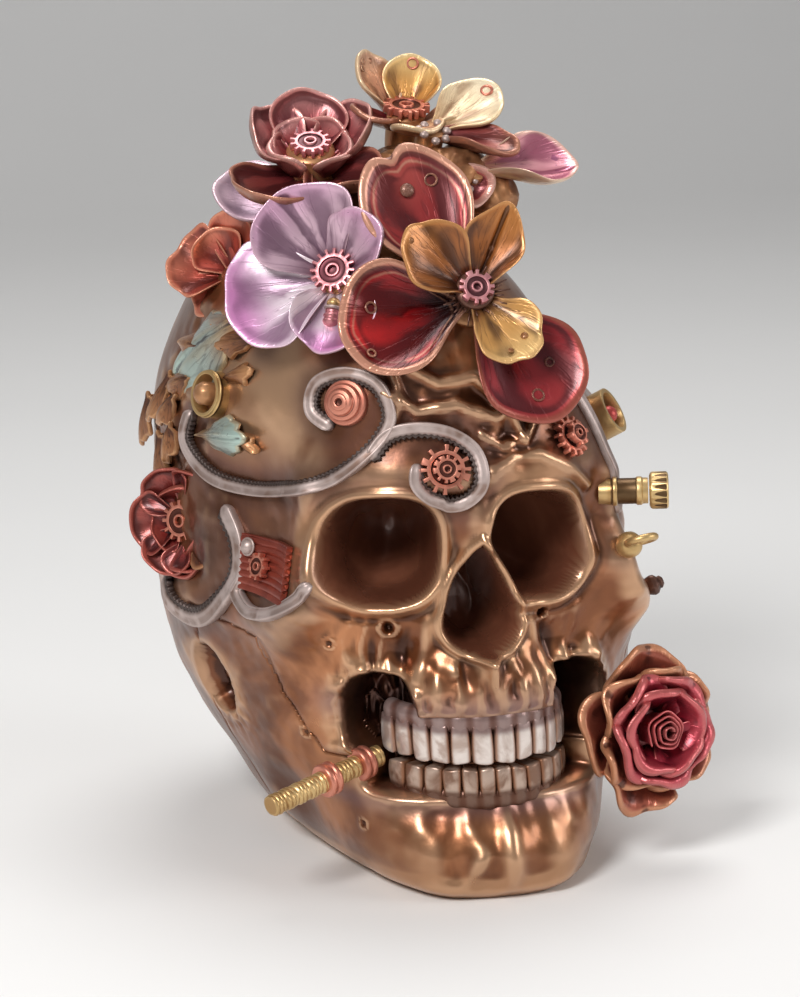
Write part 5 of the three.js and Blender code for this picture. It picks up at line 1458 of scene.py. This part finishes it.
def amber_blossom():
    way = blossom_way([-0.07, -0.11, 1.14], (0, 75))
    looks = (([66, 60, 0.15, 0.85, 0.8, 0.5, 0, 0], amber_petal),
             ([134, 52, 0.15, 0.98, 0.78, 0.5, 0, 0], amber_petal_rosy),
             ([204, 24, 0.1, 0.8, 0.7, 0.4, 0, 0], dusky_petal_brown),
             ([270, 18, 0.1, 0.75, 0.72, 0.4, 0, 0], amber_petal_rosy),
             ([338, 20, 0.1, 0.7, 0.68, 0.4, 0, 0], amber_petal_rosy))
    parts = [petal(row, AMBER, way, finish, rim=0.2, ruffle=(3 + i % 3, 0.025, i),
                   wave=(3, 0.04, 1.1 * i)) for i, (row, finish) in enumerate(looks)]
    parts.append(boss(way, AMBER, 0.24, 0.2, 1.2, bronze_metal))
    parts.append(ring(1.2, 0.28, petal_spot(looks[0][0], AMBER, way, 0.72, 0.05), copper_metal))
    parts += [ring(0.6, 0.2, petal_spot(looks[1][0], AMBER, way, p, q), amber_petal_rosy, 20, 8)
              for p, q in ((0.75, 0.2), (0.6, 0.45), (0.7, -0.15))]
    finish_piece("amber_blossom_petals", parts, ["amber_blossom"])
    heart_gear("amber_blossom", 14, 0.29 * AMBER, way, 0.2 * AMBER, copper_metal)


def cream_blossom():
    way = blossom_way([-0.01, -0.28, 1.135], (10, 62))
    pale, brown = [19, 20, 0, 1, 0.8, 0.3, 0, 0], [-38, 6, 0, 1, 0.58, 0.7, 0, 0.3]
    parts = [petal(pale, CREAM, way, cream_petal, rim=0.15, ruffle=(3, 0.03, 0.4),
                   wave=(5, 0.025, 0.0)),
             petal(brown, CREAM, way, dusky_petal_brown, rim=0.4, ruffle=(4, 0.03, 1.0),
                   wave=(3, 0.06, 0.0)),
             boss(way, CREAM, 0.16, 0.1, 0.9, bronze_metal),
             ring(1.25, 0.34, petal_spot(pale, CREAM, way, 0.72, 0.08), copper_metal)]
    spots = [shifted(way, 3.4 * math.cos(0.9 * i) - 0.5, 3.4 * math.sin(0.9 * i) - 2,
                     2.4 + 0.5 * math.sin(2 * i)) for i in range(7)]
    parts += beads(spots, [[0.4, -0.9], [1, -0.3], [1.05, 0.4], [0.4, 0.9]], silver_metal, 14, 0.2)
    finish_piece("cream_blossom_petals", parts, ["cream_blossom"])


def pink_boat():
    """One boat-shaped petal"""
    way = blossom_way([0.16, -0.39, 1.085], (15, 50))
    parts = [petal([-16, 5, 0, 1.04, 0.76, 1, 0, 0.8], PINK, way, pink_petal_finish, rim=0.25,
                   ruffle=(3, 0.02, 0.0), wave=(3, 0.03, 1.0), crease=0.05),
             boss(way, PINK, 0.12, 0.02, 0.5, bronze_metal)]
    finish_piece("pink_petal_boat", parts, ["pink_petal"])


def violet_blossom():
    way = blossom_way([-0.5, 0.06, 1], (-20, 48))
    parts = [petal([172, 14, 0, 1, 0.9, 0.5, 0, 0], VIOLET, way, violet_petal, rim=0.1,
                   ruffle=(3, 0.03, 0.0), wave=(2, 0.05, 0.6)),
             petal([14, 40, 0, 0.75, 0.8, 0.4, 0, 0], VIOLET, way, violet_petal, rim=0.1,
                   ruffle=(4, 0.03, 0.0)),
             boss(way, VIOLET, 0.16, 0.04, 0.6, bronze_metal)]
    finish_piece("violet_blossom_petals", parts, ["violet_blossom"])


def copper_blossom():
    way = blossom_way([-0.78, 0.16, 0.9], (-50, 30))
    plain_wave = (3, 0.04, 0.0)
    looks = (([182, 24, 0, 1, 1.1, 0.6, 0, 0], (4, 0.05, 0.0), (3, 0.06, 0.6)),
             ([84, 34, 0, 0.98, 0.96, 0.5, 0, 0.3], (3, 0.03, 0.0), plain_wave),
             ([132, 44, 0.1, 0.7, 0.9, 0.6, 0, 0], (3, 0.04, 1.0), plain_wave),
             ([240, 8, 0, 0.8, 0.8, 0.5, 0, 0], (3, 0.05, 0.0), (3, 0.06, 0.0)))
    parts = [petal(row, COPPER, way, copper_petal, rim=0.2, ruffle=ruffle, wave=wave)
             for row, ruffle, wave in looks]
    parts.append(boss(way, COPPER, 0.2, 0.1, 0.7, bronze_metal))
    finish_piece("copper_blossom_petals", parts, ["copper_blossom"])


def side_blossom():
    way = blossom_way([-1.05, 0.05, 0.52], (-50, 8))
    parts = [petal([turn, 24, 0.12, 0.83, 1.04, 0.55, 0, 0], SIDE, way, side_petal, rim=0.3,
                   ruffle=(3 + i % 2, 0.03, i), wave=(3, 0.05, 1.3 * i), roll=0.02)
             for i, turn in enumerate((58, 124, 190, 256, 318))]
    parts += [petal([-68, 26, 0.2, 0.8, 0.9, 0.6, 0, 0], SIDE, way, side_petal, rim=0.3,
                    ruffle=(3, 0.03, 0.0)),
              petal([-8, 40, 0.34, 0.86, 1.2, 0.5, -0.1, 0], SIDE, way, side_petal_brown, rim=0.3,
                    ruffle=(3, 0.04, 1.0))]
    parts += [petal([turn, 50, 0.26, 0.46, 0.8, 0.5, 0, 0], SIDE, way, side_petal, rim=0.3,
                    ruffle=(3, 0.05, i), wave=(3, 0.05, i))
              for i, turn in enumerate((96, 216, 330))]
    parts.append(boss(way, SIDE, 0.26, 0.2, 0.5, bronze_metal))
    parts += stamens(way, 18, 3.8, 6.2, 3.0, bronze_metal)
    finish_piece("side_blossom_petals", parts, ["side_blossom"])
    heart_gear("side_blossom", 12, 0.31 * SIDE, way, 0.2 * SIDE, copper_metal)


def rose():
    way = blossom_way([0.84, -0.64, 0.21], (12, 8))
    outer = ((98, 22, 0.98, 1.0), (30, 26, 0.84, 0.92), (-36, 24, 0.86, 0.92),
             (-108, 22, 0.98, 1.0), (176, 20, 0.92, 1.02))
    parts = [petal([turn, tilt, 0.05, long, wide, 0.5, 0, 0], ROSE, way, rose_petal, rim=0.7,
                   ruffle=(4 + i % 2, 0.05, i), wave=(3 + i % 2, 0.09, 1.7 * i), roll=-0.05)
             for i, (turn, tilt, long, wide) in enumerate(outer)]
    next_row = ((64, 0.8), (-4, 0.7), (-72, 0.76), (-142, 0.84), (138, 0.86))
    parts += [petal([turn, 36, 0.1, long, 0.8, 0.6, 0, 0], ROSE, way, rose_petal, rim=0.7,
                    ruffle=(3 + i % 2, 0.06, i), wave=(4, 0.09, 1.1 * i), roll=-0.07)
              for i, (turn, long) in enumerate(next_row)]
    parts.append(boss(way, ROSE, 0.24, 0.14, 0.7, bronze_metal))
    finish_piece("rose_outer_leaves", parts, ["rose_outer_petals"])
    inner = blossom_way([0.86, -0.72, 0.215], (16, 8))
    parts = [petal([72 * i + 20, 60, 0.2, 0.54, 0.76, 0.6, -0.1, 0], ROSE, inner, raspberry_petal,
                   rim=0.6, ruffle=(3, 0.05, i), wave=(3, 0.07, 2 * i), roll=-0.06)
             for i in range(5)]
    parts += [petal([72 * i + 56, 40, 0.22, 0.56, 0.82, 0.55, 0, 0], ROSE, inner, raspberry_petal,
                    rim=0.6, ruffle=(4, 0.05, 2 * i), wave=(3, 0.09, i), roll=-0.08)
              for i in range(5)]
    parts.append(boss(inner, ROSE, 0.26, 0.08, 0.06, raspberry_petal))
    finish_piece("rose_middle_leaves", parts, ["rose_middle_petals"])
    heart = rose_spiral(shifted(inner, z=0.08 * ROSE + GAP))
    finish_piece("rose_heart_spiral", [heart], ["rose_heart"])


def new_sheet(columns, rows):
    """A grid, and the shares from 0 to 1 along and across it"""
    sheet = started(bpy.ops.mesh.primitive_grid_add, x_subdivisions=columns, y_subdivisions=rows,
                    size=2)
    flat = places(sheet.data)
    return sheet, (flat[:, 0] + 1) / 2, (flat[:, 1] + 1) / 2


def rose_spiral(way):
    """A strip of petal wound up in three and a half turns"""
    radius, height = 0.2 * ROSE, 0.4 * ROSE
    piece, u, v = new_sheet(150, 8)
    angle = 2 * np.pi * 3.6 * u
    out = 0.5 + (radius - 0.9) * u**0.9 + 0.9 * v**3 * (0.4 + u)
    out = out + 0.22 * np.sin(5 * angle + 1) * u
    high = height * v * (1.0 - 0.28 * u) + 0.25 * np.sin(4 * angle) * v * u
    points = np.stack([out * np.cos(angle), out * np.sin(angle), high], -1)
    set_places(piece.data, points * MM)
    mark(piece.data, "rim", 0.6 + 0.4 * v)
    mark(piece.data, "inside", np.ones_like(v))
    apply_modifier(piece, "SOLIDIFY", thickness=0.55 * MM, offset=0)
    apply_modifier(piece, "SUBSURF", levels=1, render_levels=1)
    face_outwards(piece)
    piece.data.shade_smooth()
    return into_place(piece, way, raspberry_petal)


def bud():
    """A curled cup with pearls in it, turned and then pressed in three places"""
    radius, height = 5.2, 7.8
    way = shifted(frame_along(facing(8, 15), place_of([0.14, -0.43, 1.065])), z=-1.3 * radius)
    outline = [[0.28, 0], [0.34, 0.25], [0.5, 0.5], [0.74, 0.68], [0.94, 0.82], [1, 0.88],
               [0.97, 0.96], [0.88, 1], [0.78, 0.98], [0.66, 0.9], [0.5, 0.74], [0.25, 0.66]]
    cup = turned([[out * radius, high * height] for out, high in outline], way, bud_finish, 48, 0)
    points = placed(np.linalg.inv(way), places(cup.data) / MM)
    angle = np.arctan2(points[:, 1], points[:, 0])
    out, level = np.hypot(points[:, 0], points[:, 1]) / radius, points[:, 2] / height
    swell = 1 + 0.07 * np.sin(3 * angle + 1) * smooth(0.4, 0.9, level)
    points[:, :2] *= swell[:, None]
    points[:, 2] += 0.5 * np.sin(2 * angle) * smooth(0.5, 1, level)
    set_places(cup.data, placed(way, points) * MM)
    mark(cup.data, "rim", smooth(0.8, 0.9, level))
    mark(cup.data, "inside", smooth(0.92, 0.8, out) * smooth(0.6, 0.7, level))
    spots = [shifted(way, 1.9 * math.cos(i) - 1.0, 1.9 * math.sin(i) + 1.0, 6.0) for i in range(6)]
    pearls = beads(spots, [[0.3, -0.6], [0.75, -0.2], [0.78, 0.3], [0.3, 0.7]], silver_metal, 12,
                   0.15)
    finish_piece("curled_bud_cup", [cup] + pearls, ["curled_bud"])


def ball_way(around_share, level):
    """The way out of a ball's middle"""
    angle, climb = 2 * np.pi * around_share, np.pi * (level - 0.5)
    return np.stack([np.cos(angle) * np.cos(climb), np.sin(angle) * np.cos(climb),
                     np.sin(climb)], -1)


def lump(centre, size):
    """One crumpled lump of bronze"""
    def form(around_share, level):
        way = ball_way(around_share, level)
        points = np.array(centre) + way * size
        return points + way * (2.2 * (0.3 - crumple(points, 4.0, 2.0)))[:, None], {}

    piece = drawn(64, 36, form)
    piece.data.materials.append(mound_bronze)
    return piece


def bough():
    """Crumpled bronze that fills in between the blossoms' feet"""
    lumps = [([-6, -11, 157], [9, 9, 9]), ([-1, -17, 155], [8, 7, 8]),
             ([-16, -12, 150], [9, 9, 8]), ([9, -14, 150], [8, 8, 8]),
             ([4, -21, 161], [8, 6, 6]), ([-8, -19, 160], [8, 6, 6]),
             ([13, -21, 155], [6, 6, 6])]
    parts = [lump(centre, size) for centre, size in lumps]
    finish_piece("bronze_bough", parts, [])


def tufts():
    """Little curled bronze leaves down the temple and round the mound's foot"""
    ways = [(standing(place, 1.0), turn, reach) for place, turn, reach in (
        ([-80, 1.2], 200, 12), ([-86, 1.06], 250, 11), ([-66, 1.3], 150, 10),
        ([46, 1.22], 60, 9), ([-64, 1.22], 20, 10), ([-59, 1.08], -30, 8),
        ([-78, 1.3], 185, 13), ([-86, 1.14], 225, 12))]
    for k in range(11):
        around = math.radians(-50 + 25 * k)
        foot = np.array([[-10.2 + 22 * math.cos(around), -6.3 + 19 * math.sin(around), 141]])
        point, normal = underneath(foot)
        way = frame_along(normal[0], point[0] + 1.2 * normal[0])
        ways.append((way, 80 * k, 11 + 1.5 * math.sin(2 * k)))
    parts = [petal([turn, 14, 0, 1, 0.62, -0.3, -0.25, 0.9], reach, way, brown_leaf_finish,
                   thickness=1.6, rim=0.3, teeth=7, crease=0.05, fold=-0.3,
                   wave=(4, 0.08, reach + turn), around=84, along=22)
             for way, turn, reach in ways]
    finish_piece("bronze_tufts", parts, [])


def mound():
    centre = place_of([-0.2, -0.1, 0.955])

    def form(around_share, level):
        way = ball_way(around_share, level)
        points = centre + way * [25, 0.86 * 25, 21]
        lift = 1.8 * (0.4 - crumple(points, 7.0)) + 0.8 * (0.3 - crumple(points, 3.0, 4.0))
        return points + way * np.minimum(lift, 0.8)[:, None], {}

    piece = drawn(110, 70, form)
    piece.data.materials.append(mound_bronze)
    finish_piece("blossom_mound_casting", [piece], ["blossom_mound"])


# Bands that lie on the bone along a curve

def band(line, width, rise, steps, saws=0):
    """A rounded band along a curve on the bone, with a sawn inner border"""
    marks, length = through(on_skull(*np.array(line, float).T)[0], steps + 1)
    points, normals = underneath(marks)
    tangents = unit(np.gradient(marks, axis=0))
    across = unit(np.cross(normals, tangents))
    inward = np.sign((across * np.gradient(tangents, axis=0)).sum(-1).sum())
    across = across * inward * width / 2

    def form(around_share, level):
        i = np.round(level * steps).astype(int)
        angle = 2 * np.pi * around_share * inward
        end = np.minimum(level, 1 - level) * length / (0.6 * width)
        taper = np.sqrt(1 - (1 - np.clip(end, 0, 1)) ** 2)
        out = np.sign(np.cos(angle)) * np.abs(np.cos(angle)) ** 0.75
        high = np.sin(angle)
        top = 0.6 + 0.32 * smooth(0.62, 0.45, out) + 0.1 * bump((out + 0.72) / 0.2)
        up = GAP + np.where(high > 0, rise * top * np.minimum(high * 2.2, 1), 1.1 * high)
        tooth, reach = 0 * out, out
        if saws:
            saw = np.abs((level * saws) % 1 * 2 - 1)
            tooth, reach = smooth(0.5, 0.62, out), out + 0.35 * saw * smooth(0.55, 0.85, out)
        place = points[i] + across[i] * (reach * taper)[:, None]
        return place + normals[i] * (up * (0.35 + 0.65 * taper))[:, None], {"tooth": tooth}

    piece = drawn(28, steps, form)
    piece.data.materials.append(silver_metal)
    return piece


def bands():
    for name, width, rise, steps, saws in (
            ("brow_scroll", 3.2, 1.8, 240, 40), ("forehead_scroll", 3.2, 1.8, 480, 90),
            ("cheek_scroll", 3.2, 1.8, 120, 0), ("temple_ring", 4.5, 1.8, 200, 34),
            ("temple_strip", 3.2, 1.3, 160, 0)):
        piece = band(BANDS[name], width, rise, steps, saws)
        finish_piece(name + "_band", [piece], [name])


# Fittings on the bone, some of them let into it by their foot

SUNK = 2.4


def gears():
    # How far the gears stand off the bone, and what stands on the panel
    on_bone, on_panel, second_step = 0.57, 2.27, 2.1
    brow, temple = standing(BROW_GEAR, on_bone), standing(TEMPLE_GEAR, on_bone)
    for name, node, teeth, radius, way in (
            ("brow_cog", "brow_gear", 14, 5.6, brow),
            ("brow_small_cog", "brow_pinion", 10, 3.1, shifted(brow, z=second_step)),
            ("temple_cog", "temple_gear", 13, 4.8, temple),
            ("temple_small_cog", "temple_pinion", 6, 3, shifted(temple, z=second_step)),
            ("panel_cog", "panel_gear", 9, 3.2, standing(PANEL, on_panel))):
        finish_piece(name, [gear(teeth, radius, way, copper_metal)], [node])
    rivet = turned([[1.9, 0], [1.9, 0.3], [1.6, 0.9], [1.1, 1.45], [0.4, 1.8]],
                   standing([-53, 0.8], on_panel), silver_metal, 24, 0.1)
    rivet_ring = ring(1.9, 0.3, standing([-53, 0.8], 2.5), silver_metal)
    finish_piece("temple_rivet_ball", [rivet, rivet_ring], ["temple_rivet"])


def knob():
    outline = [[5.2, 0], [5.2, 3.3], [4.9, 3.7], [4.2, 3.75], [4.0, 4.4], [4.2, 4.75], [3.9, 5.1],
               [3.1, 5.15], [2.9, 5.7], [3.0, 6.0], [2.6, 6.4], [1.9, 6.45], [1.8, 6.75],
               [1.3, 6.8], [0.9, 6.8], [0.8, 5.8]]
    piece = turned(outline, standing(KNOB, -SUNK), copper_metal, 40, 0.12)
    finish_piece("forehead_knob_turning", [piece], ["forehead_knob"])


def panel():
    """A ribbed sheet on the bone"""
    sheet, u, v = new_sheet(40, 60)
    ribs = 0.3 * np.sin(2 * np.pi * 8 * v) * within(v, 0, 1, 0.1)

    def ribbed(turn, rise, plain):
        return 1.25 + ribs

    points = skull_point(np.radians(-56 + 16 * u), 0.7 + 0.13 * v, ribbed)
    set_places(sheet.data, points * MM)
    apply_modifier(sheet, "SOLIDIFY", thickness=1.4 * MM, offset=0)
    face_outwards(sheet)
    break_edges(sheet, 0.15, math.radians(50))
    sheet.data.shade_smooth()
    sheet.data.materials.append(panel_copper)
    finish_piece("temple_panel_sheet", [sheet], ["temple_panel"])


def ribbon():
    """The curled ribbon: a hoop round a fluted nub"""
    way = standing(RIBBON, -SUNK)
    nub = turned([[2.8, 0], [2.8, 6.2], [2.3, 7.2], [1.4, 7.9], [0.5, 8.1]], way, bronze_metal,
                 28, 0.2, (9, 0.1, 3, 8))
    finish_piece("ribbon_nub_casting", [nub], ["ribbon_nub"])
    piece = hoop(way, 4.5, 5.4, 5.8, 0.3)
    finish_piece("ribbon_hoop", [piece], ["ribbon_ring"])


def hoop(way, inner, outer, high, bead):
    """A flat hoop, spun from its section, with a bead round it near its top"""
    outline = [(inner, 0), (outer, 0), (outer, high - 1.2), (outer + bead, high - 0.9),
               (outer, high - 0.6), (outer, high), (inner, high)]
    piece = started(bpy.ops.mesh.primitive_circle_add, vertices=len(outline), radius=outer * MM,
                    fill_type="NOTHING")
    set_places(piece.data, [(x * MM, 0, z * MM) for x, z in outline])
    bpy.context.tool_settings.mesh_select_mode = (True, False, False)
    bpy.ops.object.mode_set(mode="EDIT")
    bpy.ops.mesh.select_all(action="SELECT")
    bpy.ops.mesh.spin(steps=56, angle=2 * math.pi, center=(0, 0, 0), axis=(0, 0, 1))
    bpy.ops.mesh.select_all(action="SELECT")
    bpy.ops.mesh.remove_doubles(threshold=0.002 * MM)
    bpy.ops.object.mode_set(mode="OBJECT")
    face_outwards(piece)
    break_edges(piece, 0.15, SHADED_EDGE)
    shade_edges(piece)
    return into_place(piece, way, brass_metal)


def nozzle():
    way = shifted(frame_along(facing(72, 2), on_skull(*NOZZLE)[0]), z=-SUNK)
    barrel = turned([[3, 0], [3, 3.2], [3.35, 3.4], [3.35, 4.2], [3, 4.4], [3, 8.6], [3.3, 8.9],
                     [3.3, 9.9], [3, 10.2], [3, 11.4]], way, brass_metal, 40, 0.12)
    finish_piece("nozzle_barrel", [barrel], ["nozzle_body"])
    cap = turned([[3.5, 0], [4.1, 0.3], [4.3, 0.7], [4.3, 3.9], [4.0, 4.3], [3.4, 4.4],
                  [3.2, 4.4], [3.0, 3.9], [2.2, 3.9], [2.0, 4.3], [1.2, 4.4]],
                 shifted(way, z=11.4 + GAP), brass_metal, 96, 0.1, (16, 0.13, 0.6, 4.0))
    finish_piece("nozzle_knurl", [cap], ["nozzle_cap"])


def ball_and_loop():
    ball = turned([[0.9, 0], [2.3, 0.8], [3, 2.2], [3.1, 3.1], [2.9, 4.2], [2.2, 5.3], [1.2, 6.0],
                   [0.4, 6.2]], standing(BRASS_BALL, -0.9), brass_metal, 32, 0)
    finish_piece("brass_ball_bead", [ball], ["brass_ball"])
    loop = ring(3.2, 0.9, standing(BRASS_BALL, 6.9) @ turn_x(90), brass_metal, 40, 14)
    finish_piece("ball_loop_ring", [loop], ["ball_loop"])


def clamp_and_beads():
    way = shifted(frame_along(facing(58, 30), on_skull(*CLAMP)[0]), z=-SUNK)
    clamp = hoop(way, 4.5, 5.6, 6.8, 0.0)
    finish_piece("ring_clamp_hoop", [clamp], ["ring_clamp"])
    outline = [[0.4, 0], [1.5, 0.5], [2.05, 1.4], [2.2, 2.2], [2.0, 3.1], [1.4, 3.9], [0.5, 4.35]]
    for name, place, lift in (("upper_bead", CLAMP, 0.3), ("lower_bead", LOWER_BEAD, -0.8)):
        bead = turned(outline, standing(place, lift), red_metal, 28, 0)
        finish_piece(name + "_drop", [bead], [name])
    pendant = turned([[0.5, 0], [1.9, 0.8], [2.6, 2.3], [2.4, 3.2], [1.5, 3.9], [1.6, 4.4],
                      [0.8, 5.1]], standing([47, 0.66], -1.3), dark_metal, 28, 0.15,
                     (5, 0.12, 1, 4.6))
    finish_piece("dark_pendant_drop", [pendant], ["dark_pendant"])


def stem():
    """The threaded stem in the corner of the mouth, with its two collars"""
    way = frame_along(facing(-65, -10), place_of([-0.4, -0.7, 0.205]))
    length, pitch, cap_share = 32, 1.15, 0.02

    def form(around_share, level):
        angle = 2 * np.pi * around_share
        high = length * np.clip((level - cap_share) / (1 - 2 * cap_share), 0, 1)
        end = np.clip(np.minimum(level, 1 - level) / cap_share, 0, 1)
        coil = high / pitch - around_share + 0.12 * np.sin(2 * angle + high)
        thread = 0.32 * np.abs(np.sin(np.pi * coil)) ** 0.7
        radius = np.minimum(2.2 + thread + 0.12 * np.sin(high * 1.9), 2.55)
        radius = radius * (0.02 + 0.98 * end)
        points = np.stack([radius * np.cos(angle), radius * np.sin(angle), high], -1)
        return placed(way, points), {}

    coil = drawn(36, 300, form)
    coil.data.materials.append(brass_metal)
    finish_piece("threaded_stem_coil", [coil], ["threaded_stem"])
    outline = [[2.6, 0], [3.6, 0.1], [3.95, 0.6], [3.9, 1.2], [3.6, 1.5], [3.6, 1.9],
               [3.95, 2.3], [4, 3], [3.7, 3.5], [2.6, 3.6]]
    for name, share in (("mouth_collar", 0.1), ("stem_collar", 0.42)):
        collar = turned([[radius, share * length + high] for radius, high in outline], way,
                        copper_metal, 36, 0.1)
        finish_piece(name + "_turning", [collar], [name])


# Leaves laid on the bone

teal_leaf_finish = petal_finish("leaf_teal",
    (150, 116, 82), (150, 160, 152), (176, 198, 188), (190, 168, 130), (120, 90, 62), (60, 50, 56),
    veins=0.7, metallic=0.5, roughness=0.3)
brown_leaf_finish = petal_finish("leaf_brown",
    (84, 46, 26), (138, 88, 54), (186, 134, 90), (210, 160, 114), (100, 60, 38), (42, 22, 14),
    veins=0.8, metallic=0.65, roughness=0.36)


def leaves():
    for name, place, turn, width, bow, reach, finish in (
            ("teal_leaf", TEAL_LEAF, 208, 0.74, -0.32, 35, teal_leaf_finish),
            ("forehead_leaf", FOREHEAD_LEAF, 6, 0.6, -0.1, 18, teal_leaf_finish),
            ("brow_leaf", BROW_LEAF, 190, 0.5, -0.12, 18, brown_leaf_finish),
            ("upper_side_leaf", (-92, 1.2), 235, 0.5, -0.1, 17, brown_leaf_finish),
            ("lower_side_leaf", (-94, 1.02), 250, 0.55, -0.1, 17, brown_leaf_finish),
            ("back_side_leaf", (-108, 1.1), 240, 0.5, -0.12, 17, brown_leaf_finish)):
        piece = petal([turn, 4, 0, 1, width, -0.2, bow, 0.9], reach, standing(place, 1.4), finish,
                      thickness=1.6, rim=0.3, teeth=11, crease=0.05, fold=-0.16,
                      wave=(5, 0.05, reach), around=132, along=36)
        finish_piece(name + "_blade", [piece], [name])


# Teeth: each crown starts as a cube, cut up, drawn into a crown and rounded

def arch_point(share, z, inset):
    """The place at a share of half the arch, set in from its outer side"""
    turn = share * ARCH_SPAN
    x = (ARCH_HALF_WIDTH - inset) * np.sin(turn)
    y = ARCH_MIDDLE - (ARCH_DEPTH - inset) * np.cos(turn)
    return np.stack([x + lean_at(y, z), y, z + 0 * x], -1)


def tight(value):
    """Draws even steps towards both borders, so that the edges stay crisp"""
    return np.sign(value) * np.abs(value) ** 0.7


def crown(start, end, neck, edge, molar, seed):
    """One crown between two shares of the arch; the seed sets its small unevenness"""
    piece = started(bpy.ops.mesh.primitive_cube_add, size=2)
    bpy.ops.object.mode_set(mode="EDIT")
    bpy.ops.mesh.select_all(action="SELECT")
    bpy.ops.mesh.subdivide(number_cuts=5)
    bpy.ops.object.mode_set(mode="OBJECT")
    flat = places(piece.data)
    across, front, high = tight(flat[:, 0]), tight(-flat[:, 1]), (tight(flat[:, 2]) + 1) / 2
    middle, half = (start + end) / 2, (end - start) / 2
    wide = 0.84 + 0.13 * smooth(0, 0.6, high) - 0.06 * molar * smooth(0.7, 1, high)
    share = middle + half * across * wide + 0.004 * np.sin(seed) * high
    worn = (0.03 + 0.03 * molar) * across**4 + 0.03 + 0.05 * math.sin(2.7 * seed) ** 2
    tip = 1 - worn * high + 0.03 * np.sin(seed + 1.5 * across) * high
    level = neck + (edge - neck) * high * tip
    face = 0.5 - 0.5 * (1 - np.abs(across) ** 3) * smooth(0, 0.3, high)
    face = face + 0.3 * smooth(0.6, 1, high)
    face = face - 0.12 * np.cos(3 * np.pi * across) * smooth(0.1, 0.4, high)
    face = face + 0.2 * math.sin(1.9 * seed) * (0.3 + 0.7 * high)
    inset = face * (front + 1) / 2 + (1 - front) / 2 * (4.6 + 0.8 * high)
    set_places(piece.data, arch_point(share, level, inset) * MM)
    mark(piece.data, "gum", smooth(0.4, 0.08, high))
    mark(piece.data, "gap", np.abs(across) ** 2.5)
    face_outwards(piece)
    apply_modifier(piece, "SUBSURF", levels=1, render_levels=1)
    piece.data.shade_smooth()
    return piece


def gum_ridge(ends, neck, up):
    """The ridge that the crowns grow from, with a scallop over each neck"""
    def form(around_share, level):
        angle = 2 * np.pi * around_share
        share = ends[-1] * (2 * level - 1)
        scallop = sum(bump((np.abs(share) - middle) / (0.34 * width))
                      for middle, width in crown_middles(ends))
        lower = scallop * (np.sin(angle) < 0)
        end = np.sqrt(np.clip(np.minimum(level, 1 - level) / 0.03, 0, 1))
        inset = 2.6 - (1.9 + 0.45 * scallop) * np.cos(angle) * end
        high = 0.9 + (2.5 + 0.7 * lower) * np.sin(angle) * end - 0.9 * lower
        marks = {"gum": np.ones_like(level), "gap": 1 - scallop}
        return arch_point(share, neck + up * high, inset), marks

    return drawn(28, 150, form)


def tooth_material(name, light, plain, ridge):
    """Silvered teeth, brown between the crowns and on the gum"""
    light, plain, ridge = paint(*light), paint(*plain), paint(*ridge)
    tooth = Finish(name, metallic=0.5, roughness=0.3)
    cloud, fine = tooth.cloud(150.0, 4, 0.5), tooth.cloud(520.0, 2)
    gum, gap, hollow = tooth.mark("gum"), tooth.mark("gap"), tooth.mark("hollow")
    between_crowns = (gap + cloud * 0.5 - 0.2).between(0.28, 0.88)
    on_gum = (gum + cloud * 0.4 - 0.2).between(0.3, 0.95)
    corners = (gap * 0.7 + gum * 0.6 + fine * 0.2).between(0.95, 1.35)
    deep = (hollow + fine * 0.06).between(0.03, 0.16)
    colour = tooth.mix(cloud.between(0.36, 0.6), plain, light)
    colour = tooth.mix(between_crowns * 0.85, colour, paint(142, 94, 64))
    colour = tooth.mix(on_gum * 0.85, colour, ridge)
    colour = tooth.mix(corners * 0.7, colour, paint(84, 46, 30))
    # Painted shade: dark brown in the hollows of the crowns and the gum ridge
    colour = tooth.mix(deep * 0.8, colour, paint(64, 34, 22))
    tooth.set(Base_Color=colour, Roughness=0.24 + fine * 0.2)
    tooth.bump(cloud * 0.6 + fine * 0.3, 0.2)
    return tooth.material


upper_tooth = tooth_material("tooth_silver", (226, 214, 206), (180, 158, 146), (126, 98, 94))
lower_tooth = tooth_material("tooth_dull", (186, 162, 146), (128, 96, 78), (92, 58, 42))


def teeth():
    for name, ends, neck, edge, finish in (
            ("upper_teeth", UPPER_CROWNS, BITE + 9.7, BITE + 0.3, upper_tooth),
            ("lower_teeth", LOWER_CROWNS, BITE - 7.3, BITE - 0.3, lower_tooth)):
        crowns = []
        for k, (start, end) in enumerate(zip(ends[:-1], ends[1:])):
            molar = smooth(2, 4, k)
            crowns.append(crown(start, end, neck, edge, molar, 3.1 * k))
            crowns.append(crown(-end, -start, neck, edge, molar, 2.3 * k + 1))
        crowns.append(gum_ridge(ends, neck, math.copysign(1, neck - edge)))
        for piece in crowns:
            piece.data.materials.append(finish)
        finish_piece(name + "_crowns", crowns, [name], 2)


gold_blossom()
crimson_blossom()
lilac_blossom()
dusky_blossom()
amber_blossom()
cream_blossom()
pink_boat()
violet_blossom()
copper_blossom()
side_blossom()
rose()
bud()
mound()
bough()
tufts()
bands()
gears()
knob()
panel()
ribbon()
nozzle()
ball_and_loop()
clamp_and_beads()
stem()
leaves()
teeth()

bpy.context.view_layer.update()
